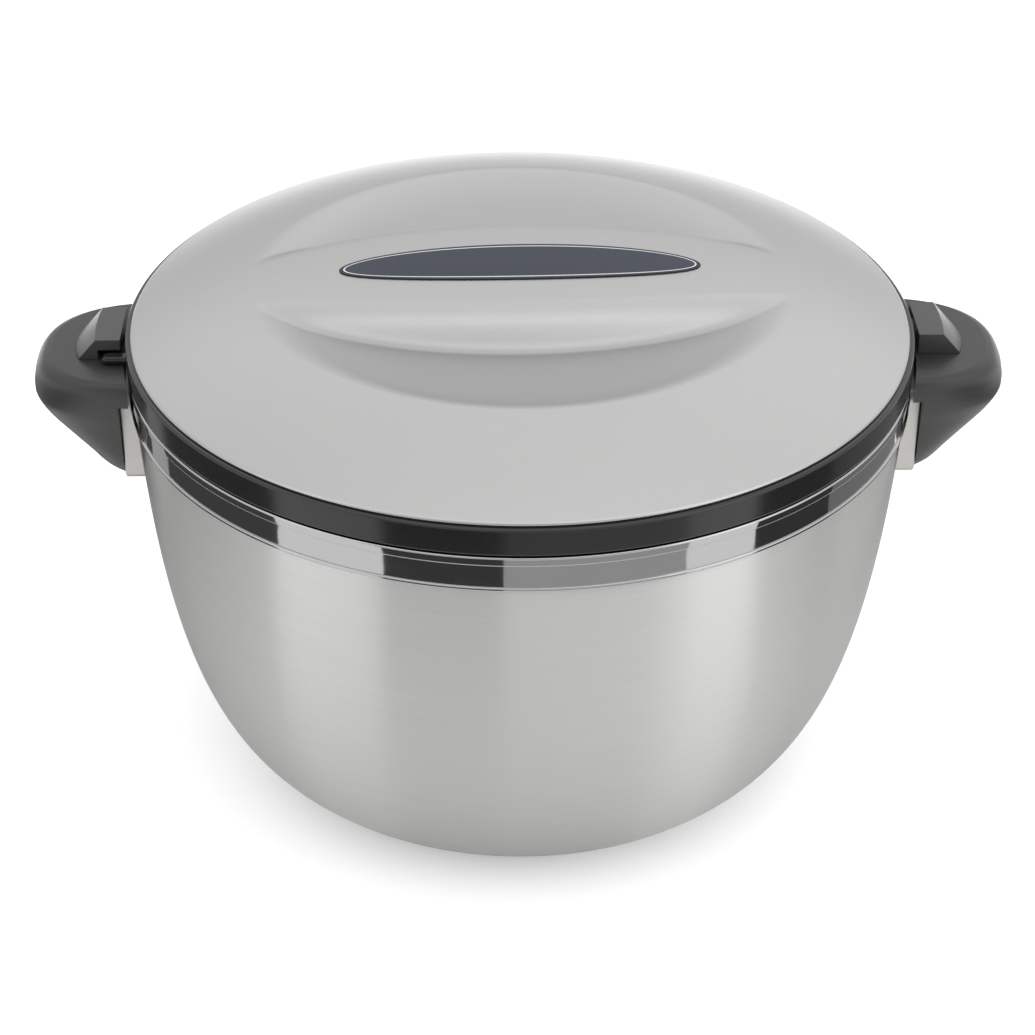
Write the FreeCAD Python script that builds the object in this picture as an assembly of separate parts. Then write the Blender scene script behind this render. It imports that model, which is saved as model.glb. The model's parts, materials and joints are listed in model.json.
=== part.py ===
"""Insulated serving casserole with a bayonet lid.

Millimetres, +Z up. The origin is on the floor under the centre of the pot, +X points to the
right handle, and the front of the pot faces -Y. The lid is drawn seated and unlocked: its two
lugs stand just outside the mouths of the catches, and a clockwise turn takes them inside.
"""
import FreeCAD, Part
import math
import os

Vector = FreeCAD.Vector
UP = Vector(0, 0, 1)

# --- Driving dimensions -------------------------------------------------------------------
SHEET = 0.6                    # steel sheet of shell, bowl, lid cover and liner
SEAM = 0.1                     # gap left in a glued or foamed joint

# Body
FOOT_HEIGHT = 1.0              # the foot ring lifts the steel off the table
BASE_RADIUS = 90.0             # steel at its lowest edge
BASE_LIP_WIDTH = 8.0           # lip that the shell turns in round its bottom
SHELL_RADIUS = 139.6           # steel just under the polished band
SHELL_HEIGHT = 150.1           # from the lowest edge of the steel to the polished band
HEEL_OUT = 17.4                # how the curve of the shell leaves the base
HEEL_UP = 11.4
BELLY_INSET = 5.4              # how the curve of the shell comes up to the band
BELLY_UP = 18.5
BAND_HEIGHT = 13.1             # polished band
BAND_PROUD = 0.8               # band outside the shell
BEAD_HEIGHT = 3.4              # bead along the top of the band
LIP_HEIGHT = 1.5               # lip along the bottom of the band
BEAD_PROUD = 0.6               # bead and lip outside the band
COLLAR_DEPTH = 8.0             # plastic ring between bowl and shell
COLLAR_WIDTH = 11.0            # inside of the bowl to inside of the shell, at the mouth
BOWL_FLOOR_INSET = 8.0         # edge of the bowl's flat floor inside the edge of the base
BOWL_FLOOR_HEIGHT = 21.0       # inside floor above the table
BOWL_HEEL_OUT = 36.0           # how the bowl's wall leaves its floor
BOWL_WALL_INSET = 4.0          # how the bowl's wall comes up to its mouth
BOWL_WALL_UP = 20.0
BASE_PLATE = 2.0               # plastic bottom
BASE_RECESS = 0.8              # plastic bottom above the table
HOOK_COUNT = 6                 # snap hooks of the plastic bottom
HOOK_ANGLE = 14.0
HOOK_REACH = 1.4
HOOK_HEIGHT = 1.2
PLUG_RADIUS = 6.0              # foam filler plug
PLUG_HEAD_RADIUS = 8.5
PLUG_HEAD = 0.5
PLUG_LENGTH = 4.0

# Seal and lid
SEAL_HEIGHT = 2.4
SEAL_SETBACK = 1.6             # seal outside the mouth of the bowl
SEAL_WIDTH = 5.8
SEAL_CORNER = 0.8
LID_GAP = 0.8                  # skirt of the lid above the bowl's flange
RIM_OVERHANG = 1.5             # lid's black ring outside the shell
RIM_WALL = 4.7
RIM_SHELF = 2.2
RIM_SHELF_WIDTH = 5.4
RIM_BEVEL = 0.7
RIM_CREST_WIDTH = 1.7          # top of the ring that stays bare outside the steel
RIM_CREST_DROP = 1.1           # top of the ring below the edge of the steel
COVER_SEAT = 0.7               # how deep the steel cover sits in the ring
COVER_EDGE_HEIGHT = 11.9       # edge of the steel cover above the bowl's flange
DOME_RISE = 21.0               # crown of the lid above the edge of its cover
DOME_FLAT = 82.0               # how far the crown stays flat
DOME_SHOULDER_RADIUS = 112.0
DOME_SHOULDER_DROP = 8.9
LINER_PLUG_GAP = 1.6           # lid liner clear of the bowl's wall
LINER_DEPTH = 8.4              # how far the lid's underside dips into the bowl
LINER_CORNER = 3.0
LID_TWIST = 1.3                # the lid's bridge is seated this far off the line of the handles
BRIDGE_HALF_WIDTH = 31.0       # bridge between the two finger recesses, at its middle
BRIDGE_EDGE_RADIUS = 250.0
BRIDGE_SLOPE = 1.1             # run of the bridge's flank for each millimetre of drop
RECESS_RADIUS = 90.5           # outer edge of the finger recesses
RECESS_DEPTH = 12.3            # floor of a recess below the crown
RECESS_FLAT = 40.0             # how far the recess floor stays level
RECESS_SWEEP = 66.0
RECESS_SWEEP_UP = 0.6
RECESS_RISE = 6.6              # how high the recess floor comes up at its outer edge
BADGE_LENGTH = 131.0
BADGE_WIDTH = 27.4
BADGE_THICKNESS = 0.7
BADGE_LINE_INSET = 1.6
BADGE_LINE_WIDTH = 0.8
BADGE_LINE_DEPTH = 0.3

# Lugs and catches
LUG_CLEARANCE = 0.3            # running gap of a lug over the handle and under the hood
LUG_THICKNESS = 3.0
LUG_REACH = 8.5                # lug outside the lid's ring
LUG_WIDTH = 4.4
LUG_CORNER = 1.4
MOUTH_GAP = 0.5                # lug at rest outside the mouth of the catch
RIM_CLEARANCE = 1.2            # handles and catches stand off the lid's ring
CATCH_LENGTH = 25.0
CATCH_ROOF = 4.2
CATCH_ROOF_WIDTH = 9.6
CATCH_SLOPE_WIDTH = 8.0
CATCH_FOOT_RADIUS = 32.5       # curve of the slope's foot, seen from above
CATCH_SIDE_HEIGHT = 0.6        # low upright edge at the foot of the slope
CATCH_END_WALL = 2.2
CATCH_EDGE = 0.7               # bevel along the catch's edges
CATCH_SIDE_GAP = 1.0           # lug tip inside the catch

# Handles
BRACKET_STANDOFF = 3.1         # outer face of the bracket outside the shell
BRACKET_PLATE = 1.2
BRACKET_HALF_WIDTH = 26.0
BRACKET_HEIGHT = 33.5
BRACKET_TOP_RISE = 5.3         # top of the bracket above the foot of the polished band
BRACKET_CORNER = 4.0
HANDLE_TOP_RISE = 1.4          # top of the handle above the bowl's flange
HANDLE_BOTTOM_RISE = 1.0       # foot of the handle above the foot of the bracket
HANDLE_NECK_REACH = 7.0        # foot of the handle outside the bracket
HANDLE_BULB_REACH = 32.8       # widest part of the handle outside the bracket
HANDLE_HALF_WIDTH = 33.0
HANDLE_ROOT_DEPTH = 14.0       # widest line of the handle inside the bracket's face
HANDLE_WALL = 3.0
HANDLE_ROUNDNESS = 2.25        # exponent of the handle's outline seen from above
HANDLE_FORM = (                # share of height, share of the reach past the neck, share of width
    (0.00, -0.10, 0.78),
    (0.06, 0.13, 0.84),
    (0.17, 0.33, 0.865),
    (0.33, 0.61, 0.875),
    (0.50, 0.88, 0.90),
    (0.65, 1.00, 0.95),
    (0.79, 0.98, 0.985),
    (0.90, 0.93, 1.00),
    (0.97, 0.84, 0.98),
    (1.00, 0.72, 0.93),
)
OUTLINE_STEPS = 6              # points on each half of a handle section

# Fasteners
SCREW_RADIUS = 2.0
SCREW_HEAD_RADIUS = 3.8
SCREW_HEAD = 2.4
SCREW_SPACING = 22.0
SCREW_RISE = 10.0              # screws above the foot of the bracket
SCREW_SEAT = 6.8               # screw head's seat outside the bracket
SCREW_CLEARANCE = 0.2
BOSS_WALL = 1.6
NUT_SIZE = 7.0
NUT_THICKNESS = 2.2
THREAD_GAP = 0.03
CATCH_SCREW_RADIUS = 1.25
CATCH_SCREW_HEAD_RADIUS = 2.4
CATCH_SCREW_HEAD = 1.6
CATCH_SCREW_GRIP = 3.2         # screw inside the catch
CATCH_SCREW_SPACING = 14.0

# --- Levels and radii that follow ---------------------------------------------------------
FLANGE_TOP = FOOT_HEIGHT + SHELL_HEIGHT + BAND_HEIGHT - 0.2
BAND_BOTTOM = FOOT_HEIGHT + SHELL_HEIGHT
BAND_TOP = BAND_BOTTOM + BAND_HEIGHT
BAND_RADIUS = SHELL_RADIUS + BAND_PROUD + BEAD_PROUD
COLLAR_TOP = FLANGE_TOP - SHEET
COLLAR_BOTTOM = COLLAR_TOP - COLLAR_DEPTH
SHELL_INNER = SHELL_RADIUS - SHEET
BASE_OPENING_RADIUS = BASE_RADIUS - BASE_LIP_WIDTH
BOWL_FLOOR_RADIUS = BASE_RADIUS - BOWL_FLOOR_INSET
BOWL_RADIUS = SHELL_INNER - COLLAR_WIDTH
RIM_RADIUS = SHELL_RADIUS + RIM_OVERHANG
SEAL_TOP = FLANGE_TOP + SEAL_HEIGHT
LINER_TOP = SEAL_TOP + SHEET
RIM_BOTTOM = FLANGE_TOP + LID_GAP
COVER_EDGE = FLANGE_TOP + COVER_EDGE_HEIGHT
COVER_RADIUS = RIM_RADIUS - RIM_CREST_WIDTH - 0.2
CROWN = COVER_EDGE + DOME_RISE
SEAL_INNER_RADIUS = BOWL_RADIUS + SEAL_SETBACK
SEAL_OUTER_RADIUS = SEAL_INNER_RADIUS + SEAL_WIDTH
RIM_INNER_RADIUS = RIM_RADIUS - RIM_WALL
LINER_RADIUS = RIM_INNER_RADIUS - 4 * SEAM
LINER_WALL_RADIUS = BOWL_RADIUS - LINER_PLUG_GAP
LINER_FLOOR = LINER_TOP - LINER_DEPTH
RIM_SHELF_RADIUS = RIM_INNER_RADIUS - RIM_SHELF_WIDTH
HANDLE_TOP = FLANGE_TOP + HANDLE_TOP_RISE
BRACKET_PLANE = SHELL_RADIUS + BRACKET_STANDOFF
BRACKET_TOP = BAND_BOTTOM + BRACKET_TOP_RISE
BRACKET_BOTTOM = BRACKET_TOP - BRACKET_HEIGHT
HANDLE_BOTTOM = BRACKET_BOTTOM + HANDLE_BOTTOM_RISE
HANDLE_INNER_RADIUS = RIM_RADIUS + RIM_CLEARANCE
LUG_BOTTOM = HANDLE_TOP + LUG_CLEARANCE
LUG_TOP = LUG_BOTTOM + LUG_THICKNESS
LUG_TIP_RADIUS = RIM_RADIUS + LUG_REACH
CATCH_CEILING = LUG_TOP + LUG_CLEARANCE
CATCH_TOP = CATCH_CEILING + CATCH_ROOF
CATCH_INNER = HANDLE_INNER_RADIUS + SEAM
CATCH_WALL = LUG_TIP_RADIUS + CATCH_SIDE_GAP
CATCH_SHOULDER = CATCH_INNER + CATCH_ROOF_WIDTH
CATCH_OUTER = CATCH_SHOULDER + CATCH_SLOPE_WIDTH
SCREW_LEVEL = BRACKET_BOTTOM + SCREW_RISE
CATCH_SCREW_PLANE = CATCH_WALL + CATCH_SCREW_RADIUS + BOSS_WALL / 2
LID_HEIGHT_LIMIT = CROWN + 10.0


# --- Small helpers ------------------------------------------------------------------------
def at(radius, height):
    """A point of a profile in the XZ plane."""
    return Vector(radius, 0, height)


def closed_face(edges):
    return Part.Face(Part.Wire(Part.__sortEdges__(edges)))


def turned(edges, angle=360.0):
    """Turn a closed profile about the pot's axis."""
    return closed_face(edges).revolve(Vector(0, 0, 0), UP, angle)


def open_edges(points):
    """Straight edges from each point to the next, without those of no length."""
    pairs = zip(points, points[1:])
    return [Part.makeLine(a, b) for a, b in pairs if a.distanceToPoint(b) > 1e-6]


def straight_edges(points):
    """Edges of the closed polygon through the points."""
    return open_edges(points + points[:1])


def turned_polygon(points, angle=360.0):
    return turned(straight_edges([at(*point) for point in points]), angle)


def curve_edge(points):
    curve = Part.BezierCurve()
    curve.setPoles(points)
    return curve.toShape()


def solid_under(curve_points, top_points, bottom_height):
    """Body of revolution inside a curved wall: the axis, the wall's curve, then its top."""
    start = curve_points[0]
    top = [at(*point) for point in top_points]
    axis = [at(0, top[-1].z), at(0, bottom_height)]
    around = [curve_points[-1]] + top + axis + [at(start.x, bottom_height), start]
    return turned([curve_edge(curve_points)] + open_edges(around))


def offset_curve(points, distance):
    """Move a control polygon sideways by a distance, to its left."""
    moved = []
    for index, point in enumerate(points):
        before = points[max(index - 1, 0)]
        after = points[min(index + 1, len(points) - 1)]
        legs = [(point - before), (after - point)]
        normals = [Vector(-leg.z, 0, leg.x).normalize() for leg in legs if leg.Length > 0]
        mean = sum(normals[1:], normals[0])
        mean.normalize()
        moved.append(point + mean * (distance / mean.dot(normals[0])))
    return moved


def ellipse_prism(length, width, bottom, top):
    outline = Part.Ellipse(Vector(0, 0, bottom), length / 2, width / 2).toShape()
    return Part.Face(Part.Wire(outline)).extrude(Vector(0, 0, top - bottom))


def box_between(low, high):
    size = high - low
    return Part.makeBox(size.x, size.y, size.z, low)


def other_side(shape):
    """The same piece at the other handle: half a turn about the pot's axis."""
    copy = shape.copy()
    copy.rotate(Vector(0, 0, 0), UP, 180)
    return copy


def seated_lid(shape):
    """Set a feature of the lid at the angle that the lid is put on at."""
    shape.rotate(Vector(0, 0, 0), UP, LID_TWIST)
    return shape


# --- Body ---------------------------------------------------------------------------------
def shell_curve(inset):
    """Wall of the outer shell, moved inwards."""
    low = at(BASE_RADIUS, FOOT_HEIGHT)
    high = at(SHELL_RADIUS, BAND_BOTTOM)
    heel = at(BASE_RADIUS + HEEL_OUT, FOOT_HEIGHT + HEEL_UP)
    belly = at(SHELL_RADIUS - BELLY_INSET, FOOT_HEIGHT + BELLY_UP)
    return offset_curve([low, heel, belly, high], inset)


def bowl_curve(outset):
    """Wall of the inner bowl, moved outwards."""
    low = at(BOWL_FLOOR_RADIUS, BOWL_FLOOR_HEIGHT)
    heel = at(BOWL_FLOOR_RADIUS + BOWL_HEEL_OUT, BOWL_FLOOR_HEIGHT)
    wall = at(BOWL_RADIUS - BOWL_WALL_INSET, BOWL_FLOOR_HEIGHT + BOWL_WALL_UP)
    high = at(BOWL_RADIUS, COLLAR_TOP)
    return offset_curve([low, heel, wall, high], -outset)


def shell_solid(inset, top):
    """Everything inside the outer shell, up to a level."""
    curve = shell_curve(inset)
    return solid_under(curve, [(SHELL_RADIUS - inset, top)], curve[0].z)


def bowl_solid(outset, top):
    """Everything inside the inner bowl, up to a level."""
    curve = bowl_curve(outset)
    return solid_under(curve, [(BOWL_RADIUS + outset, top)], curve[0].z)


def make_outer_shell():
    top = COLLAR_TOP - SEAM
    hollow = shell_solid(SHEET, top + SHEET)
    opening = Part.makeCylinder(BASE_OPENING_RADIUS, FOOT_HEIGHT + 2 * SHEET)
    return shell_solid(0, top).cut(hollow).cut(opening)


def make_base_cover():
    plate_top = BASE_RECESS + BASE_PLATE
    plate_edge = BASE_OPENING_RADIUS - 2 * SEAM
    foot_inner = BASE_OPENING_RADIUS + 1.0
    foot_bevel = 0.4
    cover = turned_polygon([
        (0, BASE_RECESS), (foot_inner, BASE_RECESS), (foot_inner, 0),
        (BASE_RADIUS - foot_bevel, 0), (BASE_RADIUS, foot_bevel), (BASE_RADIUS, FOOT_HEIGHT),
        (plate_edge, FOOT_HEIGHT), (plate_edge, plate_top), (0, plate_top),
    ])
    hook_bottom = shell_lip_top() + SEAM
    hook = turned_polygon([
        (plate_edge - HOOK_REACH, hook_bottom - FOOT_HEIGHT), (plate_edge, hook_bottom - FOOT_HEIGHT),
        (plate_edge, hook_bottom), (plate_edge + HOOK_REACH, hook_bottom),
        (plate_edge, hook_bottom + HOOK_HEIGHT), (plate_edge - HOOK_REACH, hook_bottom + HOOK_HEIGHT),
    ], HOOK_ANGLE)
    for index in range(HOOK_COUNT):
        placed = hook.copy()
        placed.rotate(Vector(0, 0, 0), UP, index * 360.0 / HOOK_COUNT)
        cover = cover.fuse(placed)
    hole = Part.makeCylinder(PLUG_RADIUS, FOOT_HEIGHT + plate_top)
    return cover.cut(hole).removeSplitter()


def shell_lip_top():
    """Upper face of the lip that the shell turns in at its bottom."""
    return shell_curve(SHEET)[0].z


def make_filler_plug():
    plate_top = BASE_RECESS + BASE_PLATE
    stem_radius = PLUG_RADIUS - SEAM
    stem_top = BASE_RECESS + PLUG_LENGTH
    barb = 0.5
    return turned_polygon([
        (0, BASE_RECESS - PLUG_HEAD), (PLUG_HEAD_RADIUS, BASE_RECESS - PLUG_HEAD),
        (PLUG_HEAD_RADIUS, BASE_RECESS), (stem_radius, BASE_RECESS),
        (stem_radius, plate_top + SEAM), (stem_radius + barb, plate_top + SEAM),
        (stem_radius - barb, stem_top), (0, stem_top),
    ])


def make_inner_bowl():
    flange = turned_polygon([
        (BOWL_RADIUS, COLLAR_TOP), (SHELL_INNER - 1.0, COLLAR_TOP),
        (SHELL_INNER - 1.0, FLANGE_TOP), (BOWL_RADIUS, FLANGE_TOP),
    ])
    wall = bowl_solid(SHEET, COLLAR_TOP).cut(bowl_solid(0, COLLAR_TOP))
    return wall.fuse(flange).removeSplitter()


def make_body_collar():
    outer = shell_solid(SHEET + SEAM, COLLAR_TOP)
    inner = bowl_solid(SHEET + SEAM, COLLAR_TOP)
    slab = Part.makeCylinder(SHELL_RADIUS + SHEET, COLLAR_DEPTH, Vector(0, 0, COLLAR_BOTTOM))
    return outer.cut(inner).common(slab)


def make_body_insulation():
    outer = shell_solid(SHEET + SEAM, COLLAR_TOP)
    inner = bowl_solid(SHEET + SEAM, COLLAR_TOP)
    bottom = BASE_RECESS + max(BASE_PLATE, PLUG_LENGTH, shell_lip_top() + HOOK_HEIGHT) + SEAM
    height = COLLAR_BOTTOM - SEAM - bottom
    slab = Part.makeCylinder(SHELL_RADIUS + SHEET, height, Vector(0, 0, bottom))
    return outer.cut(inner).common(slab)


def make_rim_band():
    inner = SHELL_RADIUS + SEAM / 2
    face = SHELL_RADIUS + BAND_PROUD
    proud = BAND_RADIUS
    soft = BEAD_PROUD / 2
    bead_bottom = BAND_TOP - BEAD_HEIGHT
    turn_in = SHELL_INNER - SHEET
    return turned_polygon([
        (inner, BAND_BOTTOM), (proud - soft, BAND_BOTTOM), (proud, BAND_BOTTOM + soft),
        (proud, BAND_BOTTOM + LIP_HEIGHT - soft), (face, BAND_BOTTOM + LIP_HEIGHT + soft),
        (face, bead_bottom - soft), (proud, bead_bottom + soft),
        (proud, BAND_TOP - 2 * soft), (proud - 2 * soft, BAND_TOP),
        (turn_in, BAND_TOP), (turn_in, COLLAR_TOP), (inner, COLLAR_TOP),
    ])


# --- Lid ----------------------------------------------------------------------------------
def dome_solid(sunk, floor):
    """Everything under the dome, whose surface is lowered by sunk, down to a floor."""
    crown = CROWN - sunk
    edge = COVER_EDGE - sunk
    points = [
        at(0, crown), at(DOME_FLAT, crown),
        at(DOME_SHOULDER_RADIUS, crown - DOME_SHOULDER_DROP), at(COVER_RADIUS, edge),
    ]
    around = [at(COVER_RADIUS, edge), at(COVER_RADIUS, floor), at(0, floor), at(0, crown)]
    return turned([curve_edge(points)] + open_edges(around))


def recess_tool(sunk):
    """Space of the finger recess on the +Y side, whose walls are moved outwards by sunk."""
    floor = CROWN - RECESS_DEPTH - sunk
    edge_radius = RECESS_RADIUS + 2 * sunk
    rim_height = floor + RECESS_RISE
    points = [
        at(0, floor), at(RECESS_FLAT, floor),
        at(RECESS_SWEEP, floor + RECESS_SWEEP_UP), at(edge_radius, rim_height),
    ]
    top = LID_HEIGHT_LIMIT
    around = [at(edge_radius, rim_height), at(edge_radius, top), at(0, top), at(0, floor)]
    bowl = turned([curve_edge(points)] + open_edges(around))

    flank_centre = Vector(0, BRIDGE_HALF_WIDTH - BRIDGE_EDGE_RADIUS, floor)
    drop = CROWN - floor
    extra = top - CROWN
    low_radius = BRIDGE_EDGE_RADIUS - sunk + drop * BRIDGE_SLOPE
    high_radius = BRIDGE_EDGE_RADIUS - sunk - extra * BRIDGE_SLOPE
    flank = Part.makeCone(low_radius, high_radius, drop + extra, flank_centre, UP)
    return bowl.cut(flank)


def lid_form(sunk, floor):
    """Everything under the finished surface of the lid, lowered by sunk."""
    form = dome_solid(sunk, floor)
    recess = recess_tool(sunk)
    return seated_lid(form.cut(recess).cut(other_side(recess)))


def make_lid_cover():
    hollow = lid_form(SHEET, COVER_EDGE - 2 * SHEET)
    slab_bottom = COVER_EDGE - SHEET
    return lid_form(0, slab_bottom).cut(hollow)


def make_lid_insulation():
    form = lid_form(SHEET + SEAM, LINER_FLOOR)
    seat = COVER_EDGE - COVER_SEAT + SEAM
    edge = COVER_RADIUS - 2 * SHEET
    low = liner_dish(SHEET + SEAM, LINER_TOP + SEAM)
    middle = Part.makeCylinder(RIM_SHELF_RADIUS - SEAM, DOME_RISE, Vector(0, 0, LINER_TOP + SEAM))
    high = Part.makeCylinder(edge, LID_HEIGHT_LIMIT - seat, Vector(0, 0, seat))
    return form.common(low.fuse(middle).fuse(high)).removeSplitter()


def make_lid_rim():
    seat = COVER_EDGE - COVER_SEAT
    crest = COVER_EDGE - RIM_CREST_DROP
    crest_radius = RIM_RADIUS - RIM_CREST_WIDTH
    ring = turned_polygon([
        (RIM_INNER_RADIUS, RIM_BOTTOM), (RIM_RADIUS - RIM_BEVEL, RIM_BOTTOM),
        (RIM_RADIUS, RIM_BOTTOM + RIM_BEVEL), (RIM_RADIUS, crest - RIM_BEVEL),
        (RIM_RADIUS - RIM_BEVEL, crest), (crest_radius, crest), (crest_radius, seat),
        (RIM_SHELF_RADIUS + RIM_SHELF, seat), (RIM_SHELF_RADIUS + RIM_SHELF, LINER_TOP + RIM_SHELF),
        (RIM_SHELF_RADIUS, LINER_TOP + RIM_SHELF), (RIM_SHELF_RADIUS, LINER_TOP),
        (RIM_INNER_RADIUS, LINER_TOP),
    ])
    lug = make_lug()
    return ring.fuse(lug).fuse(other_side(lug)).removeSplitter()


def make_lug():
    """Lug of the lid's ring at the right handle, just behind the mouth of that catch."""
    root = RIM_RADIUS - RIM_WALL / 2
    near = CATCH_LENGTH / 2 + MOUTH_GAP
    low = Vector(root, near, LUG_BOTTOM)
    high = Vector(LUG_TIP_RADIUS, near + LUG_WIDTH, LUG_TOP)
    lug = box_between(low, high).common(Part.makeCylinder(LUG_TIP_RADIUS, LID_HEIGHT_LIMIT))
    middle = RIM_RADIUS + LUG_REACH / 2
    upright = [edge for edge in lug.Edges if edge.BoundBox.ZLength > LUG_THICKNESS / 2]
    return lug.makeFillet(LUG_CORNER, [edge for edge in upright if edge.CenterOfMass.x > middle])


def liner_dish(inset, top):
    """The part of the lid's underside that dips into the bowl, with its skin moved inwards."""
    floor = LINER_FLOOR + inset
    wall = LINER_WALL_RADIUS - inset
    corner = LINER_CORNER - inset / 2
    return turned_polygon([
        (0, floor), (wall - corner, floor), (wall, floor + corner), (wall, top), (0, top),
    ])


def make_lid_liner():
    flange = turned_polygon([
        (LINER_WALL_RADIUS - SHEET, SEAL_TOP), (LINER_RADIUS, SEAL_TOP),
        (LINER_RADIUS, LINER_TOP), (LINER_WALL_RADIUS - SHEET, LINER_TOP),
    ])
    dish = liner_dish(0, LINER_TOP).cut(liner_dish(SHEET, LINER_TOP))
    return dish.fuse(flange).removeSplitter()


def make_lid_seal():
    corner = SEAL_CORNER
    return turned_polygon([
        (SEAL_INNER_RADIUS + corner, FLANGE_TOP), (SEAL_OUTER_RADIUS - corner, FLANGE_TOP),
        (SEAL_OUTER_RADIUS, FLANGE_TOP + corner), (SEAL_OUTER_RADIUS, SEAL_TOP - corner),
        (SEAL_OUTER_RADIUS - corner, SEAL_TOP), (SEAL_INNER_RADIUS + corner, SEAL_TOP),
        (SEAL_INNER_RADIUS, SEAL_TOP - corner), (SEAL_INNER_RADIUS, FLANGE_TOP + corner),
    ])


def badge_skin(low, high):
    """Layer of the lid between two heights above its surface."""
    floor = CROWN - DOME_RISE
    return dome_solid(-high, floor).cut(dome_solid(-low, floor))


def badge_oval(inset):
    return ellipse_prism(BADGE_LENGTH - 2 * inset, BADGE_WIDTH - 2 * inset, COVER_EDGE, LID_HEIGHT_LIMIT)


def make_badge_line():
    inner_inset = BADGE_LINE_INSET + BADGE_LINE_WIDTH
    ring = badge_oval(BADGE_LINE_INSET).cut(badge_oval(inner_inset))
    return seated_lid(badge_skin(BADGE_THICKNESS - BADGE_LINE_DEPTH, BADGE_THICKNESS).common(ring))


def make_badge_plate():
    plate = seated_lid(badge_skin(0, BADGE_THICKNESS).common(badge_oval(0)))
    return plate.cut(make_badge_line())


# --- Handle, bracket and catch at the right side ------------------------------------------
def handle_section(height, reach, half_width):
    """Outline of the handle at one level: a flat root and a rounded outside."""
    root = BRACKET_PLANE - HANDLE_ROOT_DEPTH
    depth = BRACKET_PLANE + reach - root
    power = 2.0 / HANDLE_ROUNDNESS
    points = []
    for step in range(-OUTLINE_STEPS, OUTLINE_STEPS + 1):
        turn = step * math.pi / 2 / OUTLINE_STEPS
        out = depth * abs(math.cos(turn)) ** power
        side = math.copysign(half_width * abs(math.sin(turn)) ** power, step)
        points.append(Vector(root + out if abs(step) < OUTLINE_STEPS else root, side, height))
    curve = Part.BSplineCurve()
    curve.interpolate(points)
    return Part.Wire([curve.toShape(), Part.makeLine(points[-1], points[0])])


def handle_form(wall):
    """Outside of the handle, or its hollow when wall is above 0, as a solid block."""
    low = HANDLE_BOTTOM + wall
    high = HANDLE_TOP - wall
    sections = []
    for share_up, share_out, share_wide in HANDLE_FORM:
        reach = HANDLE_NECK_REACH + share_out * (HANDLE_BULB_REACH - HANDLE_NECK_REACH)
        half_width = HANDLE_HALF_WIDTH * share_wide
        level = low + share_up * (high - low)
        sections.append(handle_section(level, reach - wall, half_width - wall))
    return Part.makeLoft(sections, True, False)


def screw_places():
    return [Vector(BRACKET_PLANE, side * SCREW_SPACING / 2, SCREW_LEVEL) for side in (-1, 1)]


def catch_screw_places():
    return [Vector(CATCH_SCREW_PLANE, side * CATCH_SCREW_SPACING / 2, 0) for side in (-1, 1)]


def root_space(offset):
    """Space that the handle keeps clear of: the pot above the bracket, the bracket below."""
    pot = Part.makeCylinder(HANDLE_INNER_RADIUS + offset, LID_HEIGHT_LIMIT, Vector(0, 0, 0))
    low = Vector(0, -2 * HANDLE_HALF_WIDTH, 0)
    high = Vector(BRACKET_PLANE + SEAM / 2, 2 * HANDLE_HALF_WIDTH, BRACKET_TOP + offset + SEAM)
    return pot.fuse(box_between(low, high))


def make_handle():
    block = handle_form(0).cut(root_space(0))
    hollow = handle_form(HANDLE_WALL)
    mouth_low = Vector(0, -2 * HANDLE_HALF_WIDTH, BRACKET_BOTTOM)
    mouth_high = Vector(BRACKET_PLANE + HANDLE_WALL, 2 * HANDLE_HALF_WIDTH, BRACKET_TOP - HANDLE_WALL)
    mouth = box_between(mouth_low, mouth_high)
    back_wall = Part.makeCylinder(HANDLE_INNER_RADIUS + HANDLE_WALL, LID_HEIGHT_LIMIT).cut(mouth)
    hollow = hollow.cut(back_wall)
    out = Vector(1, 0, 0)
    long_way = HANDLE_BULB_REACH
    holes = []
    for place in screw_places():
        boss_radius = SCREW_HEAD_RADIUS + SCREW_CLEARANCE + BOSS_WALL
        hollow = hollow.cut(Part.makeCylinder(boss_radius, long_way, place, out))
        holes.append(Part.makeCylinder(SCREW_RADIUS + SCREW_CLEARANCE, long_way, place, out))
        seat = place + out * SCREW_SEAT
        holes.append(Part.makeCylinder(SCREW_HEAD_RADIUS + SCREW_CLEARANCE, long_way, seat, out))
    for place in catch_screw_places():
        start = Vector(place.x, place.y, HANDLE_TOP - 2 * HANDLE_WALL)
        hole_radius = CATCH_SCREW_RADIUS + SCREW_CLEARANCE
        holes.append(Part.makeCylinder(hole_radius, 3 * HANDLE_WALL, start))
    handle = block.cut(hollow)
    for hole in holes:
        handle = handle.cut(hole)
    return handle.removeSplitter()


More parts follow.
